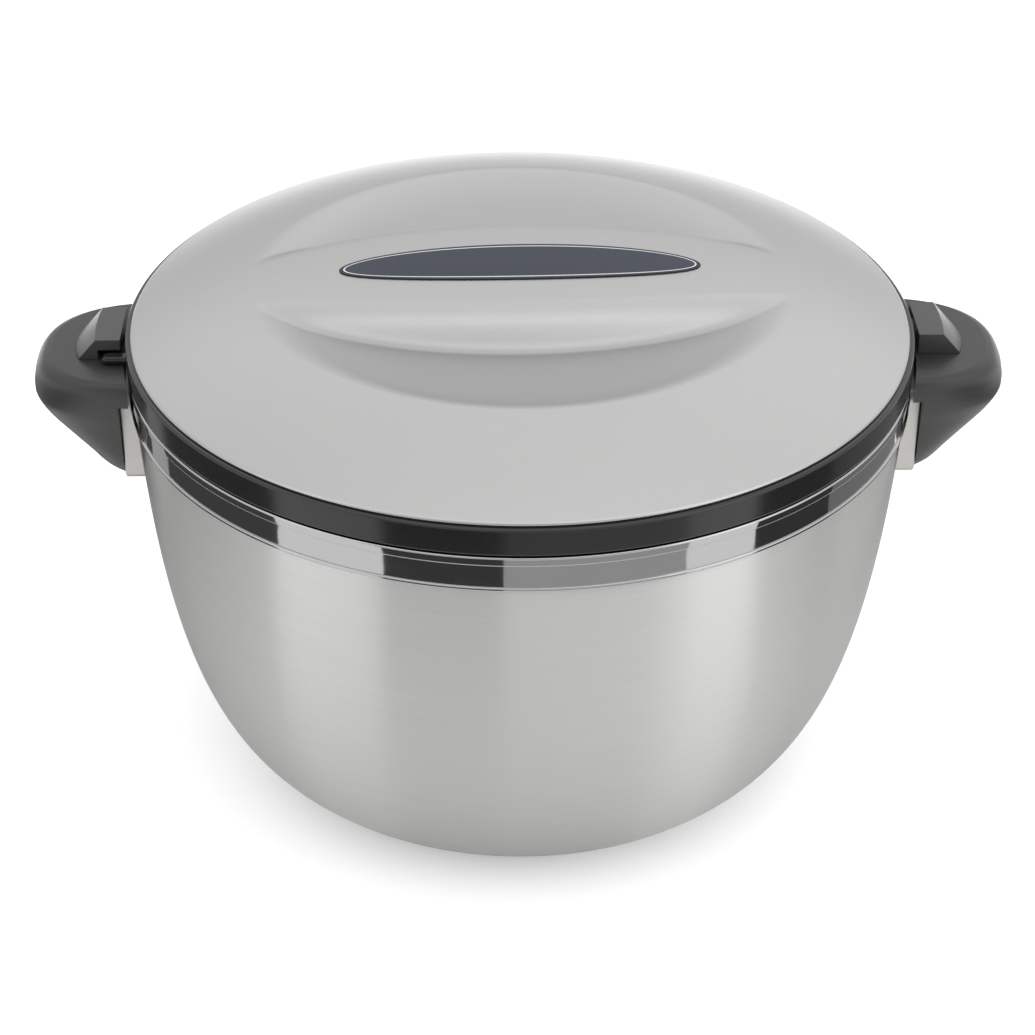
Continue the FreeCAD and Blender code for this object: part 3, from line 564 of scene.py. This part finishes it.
def cut_out(piece, tool):
    """Cut a second mesh out of the piece, and delete it."""
    modifier = piece.modifiers.new("cut", "BOOLEAN")
    modifier.object = tool
    modifier.operation = "DIFFERENCE"
    modifier.solver = "EXACT"
    bpy.context.view_layer.update()
    graph = bpy.context.evaluated_depsgraph_get()
    result = bpy.data.meshes.new_from_object(piece.evaluated_get(graph))
    piece.modifiers.clear()
    piece.data = result
    bpy.data.objects.remove(tool)


def block(name, low, high):
    """Box between two corners, in millimetres."""
    corners = ((low[0], low[1]), (high[0], low[1]), (high[0], high[1]), (low[0], high[1]))
    rings = [[(x, y, z) for x, y in corners] for z in (low[2], high[2])]
    return solid_of_rings(name, np.array(rings, float), False)


def turn_to_left(piece):
    """Take a right-hand piece half a turn round the pot's axis."""
    piece.data.transform(Matrix.Rotation(math.pi, 4, "Z"))


# --- Body -------------------------------------------------------------
def shell_wall(inset):
    """Outside of the shell from its foot to the band, moved inwards."""
    wall = bezier([
        (BASE_RADIUS, SHELL_BOTTOM),
        (BASE_RADIUS + HEEL[0], SHELL_BOTTOM + HEEL[1]),
        (SHELL_RADIUS - BELLY[0], SHELL_BOTTOM + BELLY[1]),
        (SHELL_RADIUS, BAND_BOTTOM),
    ], WALL_STEPS)
    return offset_line(wall, inset)


def make_outer_shell(materials):
    """Spun shell of one sheet, open at its top and turned in to a lip at its bottom."""
    wall = shell_wall(0)
    inside = shell_wall(SHEET)[::-1]
    inside_top = (SHELL_RADIUS - SHEET, SHELL_TOP)
    lip = [(SHELL_LIP_RADIUS, SHELL_BOTTOM + SHEET), (SHELL_LIP_RADIUS, SHELL_BOTTOM)]
    inside = [point for point in inside if point[1] > SHELL_BOTTOM + SHEET]
    profile = [*wall, (SHELL_RADIUS, SHELL_TOP), inside_top, *inside, *lip]
    shell = turned("steel_shell", profile)
    finish_piece(shell, "bowl", "satin_steel", materials, ["outer_shell"])


def make_rim_band(materials):
    """Polished band with a round bead along its top and a small lip along its foot."""
    inner = SHELL_RADIUS + SEAM / 2
    face = SHELL_RADIUS + BAND_PROUD
    turn_in = SHELL_RADIUS - BAND_TURN_IN
    lip = BAND_BOTTOM + LIP_HEIGHT
    bead = BAND_TOP - BEAD_HEIGHT
    profile = rounded([
        (inner, BAND_BOTTOM, 0), (BAND_RADIUS, BAND_BOTTOM, LIP_CORNERS[0]),
        (BAND_RADIUS, lip, LIP_CORNERS[1]), (face, lip, LIP_CORNERS[2]),
        (face, bead, BEAD_CORNERS[0]), (BAND_RADIUS, bead + BEAD_RISE, BEAD_CORNERS[1]),
        (BAND_RADIUS, BAND_TOP, BEAD_CORNERS[2]), (turn_in, BAND_TOP, BAND_TURN_IN_CORNER),
        (turn_in, SHELL_TOP + SEAM, 0), (inner, SHELL_TOP + SEAM, 0),
    ])
    finish_piece(turned("polished_band", profile), "bowl", "polished_steel", materials, ["rim_band"])


# --- Lid --------------------------------------------------------------
def soft_min(first, second, width):
    """The smaller of two heights, with the crease between them rounded over a width."""
    near = np.maximum(width - np.abs(first - second), 0) / width
    return np.minimum(first, second) - near ** 2 * width / 4


def soft_max(first, second, width):
    return -soft_min(-first, -second, width)


def dome_height(away):
    """Height of the plain dome at a distance from the lid's axis, in millimetres."""
    dome = bezier([
        (0, CROWN), (DOME_FLAT, CROWN),
        (DOME_SHOULDER[0], CROWN - DOME_SHOULDER[1]), (COVER_RADIUS, COVER_EDGE),
    ], PROFILE_STEPS)
    return np.interp(away, dome[:, 0], dome[:, 1])


def cover_height(x, y):
    """Height of the lid's surface over points in the lid's own directions, in millimetres."""
    away = np.hypot(x, y)
    surface = dome_height(away)
    floor = CROWN - RECESS_DEPTH
    poles = [(0, floor)] + [(reach, floor + rise) for reach, rise in RECESS_FORM]
    hollow = bezier(poles, PROFILE_STEPS)
    end_slope = (hollow[-1, 1] - hollow[-2, 1]) / (hollow[-1, 0] - hollow[-2, 0])
    bowl = np.interp(away, hollow[:, 0], hollow[:, 1])
    bowl = bowl + np.maximum(away - RECESS_RADIUS, 0) * end_slope
    middle, ends = RECESS_SOFTNESS
    softness = middle + (ends - middle) * np.clip(np.abs(x) / RECESS_RADIUS, 0, 1) ** 3
    for side in (-1, 1):
        from_bridge = np.hypot(x, side * y + BRIDGE_EDGE_RADIUS - BRIDGE_HALF_WIDTH)
        flank = CROWN - (from_bridge - BRIDGE_EDGE_RADIUS) / BRIDGE_SLOPE
        near_bridge = np.clip((flank - bowl) / BRIDGE_NEAR + 0.5, 0, 1)
        width = softness + (BRIDGE_SOFTNESS - softness) * near_bridge
        surface = soft_min(surface, soft_max(bowl, flank, VALLEY_SOFTNESS), width)
    return surface


def twisted(x, y, z):
    """Points in the lid's own directions, turned into the pot's."""
    turn = math.radians(LID_TWIST)
    across = x * math.cos(turn) - y * math.sin(turn)
    back = x * math.sin(turn) + y * math.cos(turn)
    return np.stack([across, back, z], axis=-1)


def lid_rings(radii, drops, steps_round, floors=None):
    """Rings of points under the lid's surface, lowered by drops, or at the floors where given."""
    angles = np.linspace(0, 2 * math.pi, steps_round, endpoint=False)
    x = radii[:, None] * np.cos(angles)
    y = radii[:, None] * np.sin(angles)
    z = cover_height(x, y) - drops[:, None]
    if floors is not None:
        z = np.where(np.isnan(floors)[:, None], z, floors[:, None])
    return twisted(x, y, z)


def make_lid_cover(materials):
    """Pressed steel dome: a fine skin on top, a rolled edge and a plainer underside."""
    roll_start = COVER_RADIUS - COVER_ROLL
    top = np.append(np.arange(COVER_STEP, roll_start, COVER_STEP), roll_start)
    roll = np.linspace(0, math.pi / 2, COVER_ROLL_STEPS + 1)[1:]
    under = np.arange(COVER_RADIUS - SHEET, COVER_BACK_STEP, -COVER_BACK_STEP)
    radii = np.concatenate([top, COVER_RADIUS - COVER_ROLL * (1 - np.sin(roll)), under])
    drops = np.concatenate([0 * top, COVER_ROLL * (1 - np.cos(roll)), 0 * under + SHEET])
    rings = lid_rings(radii, drops, COVER_STEPS_ROUND)
    cover = solid_of_rings("lid_dome", rings, False)
    # Depth under the plain dome as a share of the recess depth, kept on the points to drive the painted
    # shade in the recesses.
    shade_depth = (dome_height(radii)[:, None] - drops[:, None] - rings[:, :, 2]) / RECESS_DEPTH
    depth = cover.data.attributes.new("painted_shade_depth", "FLOAT", "POINT")
    depth.data.foreach_set("value", np.append(shade_depth.ravel(), (0, 0)))
    finish_piece(cover, "lid", "lid_steel", materials, ["lid_cover"], sharp=SHARP_ANGLE_PRESSED)


def foam_underside(edge):
    """Distances and heights of the foam's underside, from the edge of the dome to the lid's axis."""
    bottom = low_mm("lid_insulation").z
    shelf = COVER_EDGE - COVER_SEAT + SEAM
    flange = high_mm("lid_liner").z + SEAM
    turns = np.linspace(0, math.pi / 2, ARC_STEPS + 1)
    across = FOAM_DISH_RADIUS - FOAM_CORNER * (1 - np.cos(turns))
    up = bottom + FOAM_CORNER * (1 - np.sin(turns))
    return [
        (edge, shelf), (FOAM_SHELF_RADIUS, shelf), (FOAM_SHELF_RADIUS, flange),
        (FOAM_DISH_RADIUS, flange), *zip(across, up), (FOAM_STEP, bottom),
    ]


def make_lid_foam(materials):
    """Foam between the dome and the liner, stepped over the liner's flange and the ring's shelf."""
    edge = high_mm("lid_insulation").x
    top = np.append(np.arange(FOAM_STEP, edge, FOAM_STEP), edge)
    steps = foam_underside(edge)
    radii = np.concatenate([top, [radius for radius, _ in steps]])
    floors = np.concatenate([top * np.nan, [height for _, height in steps]])
    drops = np.full(len(radii), SHEET + SEAM)
    rings = lid_rings(radii, drops, FOAM_STEPS_ROUND, floors)
    foam_piece = solid_of_rings("lid_foam", rings, False)
    finish_piece(foam_piece, "lid", "foam", materials, ["lid_insulation"], sharp=SHARP_ANGLE_PRESSED)


def badge_ring(inset, lift, share=1.0):
    """Oval of points on the lid, inside the badge's outline and above the steel."""
    turns = np.linspace(0, 2 * math.pi, BADGE_STEPS_ROUND, endpoint=False)
    x = (BADGE_LENGTH / 2 - inset) * share * np.cos(turns)
    y = (BADGE_WIDTH / 2 - inset) * share * np.sin(turns)
    return twisted(x, y, dome_height(np.hypot(x, y)) + lift)


def make_badge_oval(materials):
    """Bare enamel oval that follows the dome, with a rounded edge."""
    round_over = np.linspace(0, math.pi / 2, ARC_STEPS)
    insets = BADGE_EDGE * (1 - np.cos(round_over))
    lifts = BADGE_THICKNESS - BADGE_EDGE * (1 - np.sin(round_over))
    shares = np.linspace(0, 1, BADGE_RINGS, endpoint=False)[1:]
    rings = [badge_ring(0, 0, share) for share in shares] + [badge_ring(0, 0)]
    rings += [badge_ring(inset, lift) for inset, lift in zip(insets, lifts)]
    rings += [badge_ring(BADGE_EDGE, BADGE_THICKNESS, share) for share in shares[::-1]]
    plate = solid_of_rings("badge_oval", np.array(rings), False)
    finish_piece(plate, "lid", "badge_enamel", materials, ["badge_plate"])


def make_badge_inlay(materials):
    """Fine silver line let into the badge, a little inside its outline."""
    inner = BADGE_LINE_INSET + BADGE_LINE_WIDTH
    middle = BADGE_LINE_INSET + BADGE_LINE_WIDTH / 2
    crest = BADGE_THICKNESS + BADGE_LINE_PROUD
    section = [
        (BADGE_LINE_INSET, BADGE_THICKNESS / 2), (BADGE_LINE_INSET, BADGE_THICKNESS), (middle, crest),
        (inner, BADGE_THICKNESS), (inner, BADGE_THICKNESS / 2),
    ]
    line = solid_of_rings("badge_inlay", np.array([badge_ring(*place) for place in section]), True)
    finish_piece(line, "lid", "badge_silver", materials, ["badge_line"])


def make_lid_ring(materials):
    """Gloss ring of the lid, with a seat for the steel and a shelf inside."""
    inner = RIM_RADIUS - RIM_WALL
    crest = COVER_EDGE - RIM_CREST_DROP
    crest_radius = RIM_RADIUS - RIM_CREST_WIDTH
    seat = COVER_EDGE - COVER_SEAT
    liner_top = high_mm("lid_liner").z
    shelf = inner - RIM_SHELF_WIDTH
    profile = rounded([
        (inner, RIM_BOTTOM, 0), (RIM_RADIUS, RIM_BOTTOM, RIM_CORNERS[0]),
        (RIM_RADIUS, crest, RIM_CORNERS[1]), (crest_radius, crest, 0), (crest_radius, seat, 0),
        (shelf + RIM_SHELF, seat, 0), (shelf + RIM_SHELF, liner_top + RIM_SHELF, 0),
        (shelf, liner_top + RIM_SHELF, 0), (shelf, liner_top, 0), (inner, liner_top, 0),
    ])
    ring = turned("lid_ring", profile)
    finish_piece(ring, "lid", "gloss_black", materials, ["lid_rim"])


def make_lugs(materials):
    """The ring's two lugs, which pass over the handles and into the catches."""
    root = RIM_RADIUS - RIM_WALL / 2
    lug_bottom = HANDLE_HIGH.z + LUG_CLEARANCE
    low = (root, LUG_NEAR, lug_bottom)
    high = (LUG_TIP, LUG_NEAR + LUG_WIDTH, lug_bottom + LUG_THICKNESS)
    for side in ("right", "left"):
        lug = block("lid_lug_" + side, low, high)
        if side == "left":
            turn_to_left(lug)
        finish_piece(lug, "lid", "gloss_black", materials, bevel=LUG_BEVEL)


# --- Handles and catches ----------------------------------------------
def smooth_rows(rows, steps):
    """Rows of numbers with smooth rows between them, by a Catmull-Rom curve."""
    rows = np.array(rows, float)
    padded = np.vstack([rows[0], rows, rows[-1]])
    made = []
    for index in range(1, len(padded) - 2):
        a, b, c, d = padded[index - 1:index + 3]
        for step in range(steps):
            t = step / steps
            made.append(0.5 * (2 * b + (c - a) * t + (2 * a - 5 * b + 4 * c - d) * t ** 2
                               + (3 * b - a - 3 * c + d) * t ** 3))
    return np.array(made + [rows[-1]])


def handle_ring(level, reach, half_width, roundness, above_bracket):
    """Outline of the right handle at one level, flat or hollow against the pot."""
    axis = BRACKET_PLANE - HANDLE_ROOT_DEPTH
    depth = BRACKET_PLANE + reach - axis
    power = 2.0 / roundness
    pot_radius = RIM_RADIUS + HANDLE_CLEARANCE

    def root(y):
        return np.sqrt(pot_radius ** 2 - y ** 2) if above_bracket else BRACKET_PLANE + SEAM / 2 + 0 * y

    def side(turn):
        x = axis + depth * np.abs(np.cos(turn)) ** power
        return x, half_width * np.sign(turn) * np.abs(np.sin(turn)) ** power

    low, high = 0.0, math.pi / 2
    for _ in range(ROOT_HALVINGS):
        middle = (low + high) / 2
        x, y = side(middle)
        low, high = (middle, high) if x > root(y) else (low, middle)
    x, y = side(np.linspace(-low, low, HANDLE_SIDE_STEPS))
    back = np.linspace(y[-1], y[0], HANDLE_ROOT_STEPS + 2)[1:-1]
    outline = np.column_stack([np.append(x, root(back)), np.append(y, back)])
    return np.column_stack([outline, np.full(len(outline), level)])


def handle_rings():
    """Outlines of the right handle from its foot to its top, doubled at the top of the bracket."""
    bottom, top = HANDLE_LOW.z, HANDLE_HIGH.z
    bulb = HANDLE_HIGH.x - BRACKET_PLANE - HANDLE_NECK_REACH
    rings = []
    split = (BRACKET_TOP + SEAM - bottom) / (top - bottom)
    rows = smooth_rows(HANDLE_FORM, HANDLE_LEVEL_STEPS)
    lower = [row for row in rows if row[0] < split - HANDLE_LEVEL_GAP]
    upper = [row for row in rows if row[0] > split + HANDLE_LEVEL_GAP]
    joint = np.array([split] + [np.interp(split, rows[:, 0], rows[:, i]) for i in (1, 2)])
    for above, group in ((False, lower + [joint]), (True, [joint] + upper)):
        for up, out, wide in group:
            level = bottom + up * (top - bottom)
            reach = HANDLE_NECK_REACH + min(out, 1.0) * bulb
            roundness = np.interp(up, (0, 1), HANDLE_ROUNDNESS)
            rings.append(handle_ring(level, reach, wide * HANDLE_HALF_WIDTH, roundness, above))
    return np.array(rings)


def screw_well(y):
    """Round hole from the outside of the right handle down to the seat of a screw's head."""
    middle = (low_mm("handle_screws_right").z + high_mm("handle_screws_right").z) / 2
    turns = np.linspace(0, 2 * math.pi, WELL_STEPS, endpoint=False)
    ring = np.zeros((2, WELL_STEPS, 3))
    ring[0, :, 0] = BRACKET_PLANE + SCREW_SEAT
    ring[1, :, 0] = HANDLE_HIGH.x
    ring[:, :, 1] = y + SCREW_WELL_RADIUS * np.cos(turns)
    ring[:, :, 2] = middle + SCREW_WELL_RADIUS * np.sin(turns)
    return solid_of_rings("screw_well", ring, False)


def make_handles(materials):
    """Two moulded ears, each with wells for its two screws."""
    rings = handle_rings()
    for name in ("right", "left"):
        handle = solid_of_rings("handle_ear_" + name, rings, False)
        for side in (-1, 1):
            cut_out(handle, screw_well(side * SCREW_SPACING / 2))
        if name == "left":
            turn_to_left(handle)
        nodes = ["handle_" + name]
        finish_piece(handle, "bowl", "handle_plastic", materials, nodes, bevel=HANDLE_BEVEL)


def catch_rings():
    """Sections of the right catch's outside, from its closed end to its mouth."""
    foot, top = CATCH_LOW.z, CATCH_HIGH.z
    inner, outer = CATCH_LOW.x, CATCH_HIGH.x
    half = CATCH_HIGH.y
    rings = []
    for y in np.linspace(-half, half, CATCH_STATIONS):
        inset = (y / half) ** 2
        shoulder = inner + CATCH_ROOF_WIDTH - inset * CATCH_SHOULDER_BULGE
        skirt = outer - inset * CATCH_BULGE
        side_top = foot + CATCH_SIDE_HEIGHT
        section = ((inner, foot), (inner, top), (shoulder, top), (skirt, side_top), (skirt, foot))
        rings.append([(x, y, z) for x, z in section])
    return np.array(rings)


def make_catches(materials):
    """Hoods with a slot for the lug, open at one end and towards the lid."""
    rings = catch_rings()
    low = (CATCH_LOW.x - CUT_SPARE, CATCH_LOW.y + CATCH_END_WALL, CATCH_LOW.z - CUT_SPARE)
    high = (CATCH_HIGH.x - CATCH_WALL_WIDTH, CATCH_HIGH.y + CUT_SPARE, CATCH_HIGH.z - CATCH_ROOF)
    for name in ("right", "left"):
        catch = solid_of_rings("catch_hood_" + name, rings, False)
        cut_out(catch, block("lug_slot", low, high))
        if name == "left":
            turn_to_left(catch)
        finish_piece(catch, "bowl", "catch_plastic", materials, ["catch_" + name], bevel=CATCH_BEVEL)


def bracket_rings():
    """Outlines of the right tray, from inside the pot's wall to its face, smaller over the fold."""
    half = BRACKET_HALF_WIDTH
    outline = np.array(rounded([
        (-half, BRACKET_BOTTOM, BRACKET_CORNER), (half, BRACKET_BOTTOM, BRACKET_CORNER),
        (half, BRACKET_TOP, BRACKET_CORNER), (-half, BRACKET_TOP, BRACKET_CORNER),
    ]))
    middle = np.array([0, (BRACKET_BOTTOM + BRACKET_TOP) / 2])
    half_size = np.abs(outline - middle).max(0)
    fold = np.linspace(0, math.pi / 2, ARC_STEPS + 1)
    depths = [BRACKET_PLANE - BRACKET_DEPTH, *(BRACKET_PLANE - BRACKET_FOLD * (1 - np.sin(fold)))]
    insets = [0, *(BRACKET_FOLD * (1 - np.cos(fold)))]
    rings = []
    for x, inset in zip(depths, insets):
        shrunk = middle + (outline - middle) * (half_size - inset) / half_size
        rings.append([(x, y, z) for y, z in shrunk])
    return np.array(rings)


def pot_profile():
    """Profile of the space that the shell and the band take up next to the brackets."""
    lowest = BRACKET_BOTTOM - 2 * BRACKET_CORNER
    wall = [point for point in shell_wall(-SEAM / 2) if point[1] > lowest]
    keep_out = BAND_RADIUS + SEAM
    foot = BAND_BOTTOM - SEAM
    inside = SHELL_RADIUS - 2 * BRACKET_DEPTH
    return [
        (inside, wall[0][1]), *wall[:-1], (SHELL_RADIUS + SEAM / 2, foot), (keep_out, foot),
        (keep_out, BAND_TOP), (inside, BAND_TOP),
    ]


def make_brackets(materials):
    """Steel trays with rounded folds, cut to the shell's wall and to the outside of the band."""
    rings = bracket_rings()
    pot = pot_profile()
    for name in ("right", "left"):
        bracket = solid_of_rings("bracket_tray_" + name, rings, False)
        cut_out(bracket, turned("pot_space", pot))
        if name == "left":
            turn_to_left(bracket)
        finish_piece(bracket, "bowl", "bracket_steel", materials, ["handle_bracket_" + name])


# --- Studio -----------------------------------------------------------
WHITE = (1, 1, 1)
FLOOR_HALF = 4.0
FLOOR_BOUNCE = (0.75, 0.75, 0.75)   # colour that the floor throws on the pieces
FLOOR_GLOW = 0.26              # light of its own that only the camera sees
FLOOR_SHEEN = 0.29             # light of its own that only mirroring pieces see
SHEEN_REACH = (0.12, 0.26)     # the floor's sheen starts and is full this far from the pot's axis
SKY_TONES = (                  # brightness by how high a direction points, from level to straight up
    (0.0, 0.75), (0.26, 0.92), (0.46, 1.08), (0.58, 1.10), (0.72, 0.98), (1.0, 1.0),
)
SKY_FRONT_TONES = (            # the same from the back of the room to the camera's side
    (-1.0, 0.80), (-0.89, 0.80), (-0.81, 1.06), (-0.05, 1.0), (0.30, 1.55), (0.6, 0.9), (0.85, 0.6),
)
SKY_SIDE_TONES = (             # the same from the left of the room to its right
    (-1.0, 0.80), (-0.3, 1.06), (0.0, 1.08), (0.3, 1.14), (1.0, 1.02),
)
BACK_CARD_REACH = (0.45, 3.5)  # near and far edge of the card, from the pot's axis
BACK_CARD_SPREAD = 50          # degrees to each side
BACK_CARD_TONE = 2.0
CARD_HEIGHT = 0.0005           # cards lie this far above the floor
CARD_STEPS = 24
FLAGS = (                      # start and end round the band, near and far share, tone
    ("flag_gap_left", -64, -58, 0.86, 1.9, 0.5),
    ("flag_left", -58, -34, 0.86, 1.9, 0.085),
    ("flag_front", -18, -2, 0.90, 2.2, 0.07),
    ("flag_grey", -2, 22.5, 0.90, 1.6, 0.53),
    ("flag_right", 33, 47, 0.86, 1.9, 0.06),
    ("flag_far_right", 47, 68, 0.86, 1.5, 0.26),
    ("flag_far_left", -80, -64, 0.86, 1.5, 0.08),
    ("flag_edge_left", -87, -66, 0.10, 0.86, 0.25),
)
SOFTBOXES = (                  # turn from the camera's side, watts
    ("softbox_left", -52, 0.5),
    ("softbox_right", 50, 1.15),
)
SOFTBOX_RISE = 18
SOFTBOX_DISTANCE = 1.3
SOFTBOX_SIZE = (0.55, 0.9)     # width and height


def camera_place():
    return CAMERA_TARGET + direction(CAMERA_TURN, CAMERA_PITCH) * CAMERA_DISTANCE


def any_path(tree, *rays):
    """1 for the named kinds of ray, otherwise 0."""
    path = add_node(tree, "ShaderNodeLightPath")
    value = path.outputs[rays[0]]
    for ray in rays[1:]:
        either = add_node(tree, "ShaderNodeMath", operation="MAXIMUM")
        link(tree, value, either.inputs[0])
        link(tree, path.outputs[ray], either.inputs[1])
        value = either.outputs[0]
    return value


def stage_plane(name, corners, material):
    """Flat piece of the studio, which isn't part of the object."""
    mesh = bpy.data.meshes.new(name)
    mesh.from_pydata(corners, [], [tuple(range(len(corners)))])
    mesh.materials.append(material)
    plane = bpy.data.objects.new(name, mesh)
    bpy.context.scene.collection.objects.link(plane)
    return plane


def make_floor():
    """Pale floor that the camera and the polished pieces see as white where nothing shades it."""
    material, shader = new_material("floor")
    tree = material.node_tree
    seen = any_path(tree, "Is Camera Ray", "Is Transmission Ray")
    mirrored = add_node(tree, "ShaderNodeMath", operation="MULTIPLY")
    place = add_node(tree, "ShaderNodeTexCoord")
    away = add_node(tree, "ShaderNodeVectorMath", operation="LENGTH")
    link(tree, place.outputs["Object"], away.inputs[0])
    link(tree, any_path(tree, "Is Glossy Ray"), mirrored.inputs[0])
    link(tree, remap(tree, away.outputs["Value"], 0, 1, *SHEEN_REACH), mirrored.inputs[1])
    link(tree, blend_colours(tree, seen, FLOOR_BOUNCE, WHITE), shader.inputs["Base Color"])
    shader.inputs["Roughness"].default_value = 0.6
    shader.inputs["Specular IOR Level"].default_value = 0.2
    shader.inputs["Emission Color"].default_value = (*WHITE, 1)
    glow = add_node(tree, "ShaderNodeMath", operation="ADD")
    link(tree, remap(tree, seen, 0, FLOOR_GLOW, 0, 1), glow.inputs[0])
    link(tree, remap(tree, mirrored.outputs[0], 0, FLOOR_SHEEN, 0, 1), glow.inputs[1])
    link(tree, glow.outputs[0], shader.inputs["Emission Strength"])
    half = FLOOR_HALF
    corners = [(-half, -half, 0), (half, -half, 0), (half, half, 0), (-half, half, 0)]
    stage_plane("floor", corners, material)


def mirrored_place(turn):
    """Point on the band at an angle from its front, and the way to the floor that it mirrors."""
    point = direction(CAMERA_TURN + turn, 0) * BAND_RADIUS * MM
    point.z = (BAND_TOP + BAND_BOTTOM) / 2 * MM
    normal = direction(CAMERA_TURN + turn, 0)
    ray = (point - camera_place()).normalized()
    bounce = ray - 2 * ray.dot(normal) * normal
    return point, bounce * (-point.z / bounce.z)


def make_card(name, inner, outer, tone):
    """Card on the table between two lines of points, which only mirroring pieces see."""
    material, shader = new_material(name)
    shader.inputs["Base Color"].default_value = (0, 0, 0, 1)
    shader.inputs["Specular IOR Level"].default_value = 0.0
    shader.inputs["Emission Color"].default_value = (*WHITE, 1)
    shader.inputs["Emission Strength"].default_value = tone
    corners = [(point.x, point.y, CARD_HEIGHT) for point in inner + outer[::-1]]
    card = stage_plane(name, corners, material)
    card.visible_camera = False
    card.visible_diffuse = False
    card.visible_shadow = False


def make_back_card():
    """Bright card on the table behind the pot, for the far side of the lid."""
    turns = np.linspace(180 - BACK_CARD_SPREAD, 180 + BACK_CARD_SPREAD, CARD_STEPS)
    ways = [direction(CAMERA_TURN + turn, 0) for turn in turns]
    near, far = ([way * reach for way in ways] for reach in BACK_CARD_REACH)
    make_card("card_back", near, far, BACK_CARD_TONE)


def make_flags():
    """Cards on the table, out of the picture, that the polished band and its bead mirror."""
    for name, start, end, near, far, tone in FLAGS:
        inner, outer = [], []
        for step in range(CARD_STEPS + 1):
            point, reach = mirrored_place(start + (end - start) * step / CARD_STEPS)
            inner.append(point + reach * near)
            outer.append(point + reach * far)
        make_card(name, inner, outer, tone)


def sky_ramp(tree, place, way, marks):
    """Brightness of the room by how far a direction points one way, as a share of its brightest."""
    brightest = max(tone for _, tone in marks)
    share = add_node(tree, "ShaderNodeVectorMath", operation="DOT_PRODUCT")
    share.inputs[1].default_value = way
    link(tree, place.outputs["Generated"], share.inputs[0])
    ramp = add_node(tree, "ShaderNodeValToRGB")
    elements = ramp.color_ramp.elements
    for index, (where, tone) in enumerate(marks):
        mark = elements[index] if index < 2 else elements.new((where + 1) / 2)
        mark.position = (where + 1) / 2
        mark.color = (*scaled(WHITE, tone / brightest), 1)
    link(tree, remap(tree, share.outputs["Value"], 0, 1, -1, 1), ramp.inputs["Fac"])
    return ramp.outputs["Color"], brightest


def make_world():
    """Soft white room, a little brighter to the right, which the camera sees as plain white."""
    world = bpy.data.worlds.new("studio")
    bpy.context.scene.world = world
    world.use_nodes = True
    tree = world.node_tree
    background = next(node for node in tree.nodes if node.type == "BACKGROUND")
    place = add_node(tree, "ShaderNodeTexCoord")
    ways = (
        (Vector((0, 0, 1)), SKY_TONES),
        (direction(CAMERA_TURN, 0), SKY_FRONT_TONES),
        (direction(CAMERA_TURN + 90, 0), SKY_SIDE_TONES),
    )
    (product, strength), *others = [sky_ramp(tree, place, way, marks) for way, marks in ways]
    for colour, brightest in others:
        both = add_node(tree, "ShaderNodeVectorMath", operation="MULTIPLY")
        link(tree, product, both.inputs[0])
        link(tree, colour, both.inputs[1])
        product = both.outputs["Vector"]
        strength *= brightest
    seen = any_path(tree, "Is Camera Ray")
    plain = add_node(tree, "ShaderNodeMix", data_type="RGBA")
    plain.inputs["B"].default_value = (*WHITE, 1)
    link(tree, seen, plain.inputs["Factor"])
    link(tree, product, plain.inputs["A"])
    link(tree, plain.outputs["Result"], background.inputs["Color"])
    link(tree, remap(tree, seen, strength, 1, 0, 1), background.inputs["Strength"])


def make_softbox(name, turn, watts):
    """Upright lamp that faces the pot, turned to the right from the camera's side."""
    data = bpy.data.lights.new(name, "AREA")
    data.shape = "RECTANGLE"
    data.size, data.size_y = SOFTBOX_SIZE
    data.energy = watts
    lamp = bpy.data.objects.new(name, data)
    away = direction(CAMERA_TURN + turn, SOFTBOX_RISE)
    lamp.location = CAMERA_TARGET + away * SOFTBOX_DISTANCE
    lamp.rotation_mode = "QUATERNION"
    lamp.rotation_quaternion = (-away).to_track_quat("-Z", "Y")
    lamp.visible_camera = False
    bpy.context.scene.collection.objects.link(lamp)


materials = make_materials()
make_camera()
dress_cad(materials)
make_outer_shell(materials)
make_rim_band(materials)
make_lid_cover(materials)
make_lid_foam(materials)
make_badge_oval(materials)
make_badge_inlay(materials)
make_lid_ring(materials)
make_lugs(materials)
make_handles(materials)
make_catches(materials)
make_brackets(materials)
make_floor()
make_flags()
make_back_card()
make_world()
for softbox in SOFTBOXES:
    make_softbox(*softbox)
bpy.context.scene.view_settings.view_transform = "Standard"
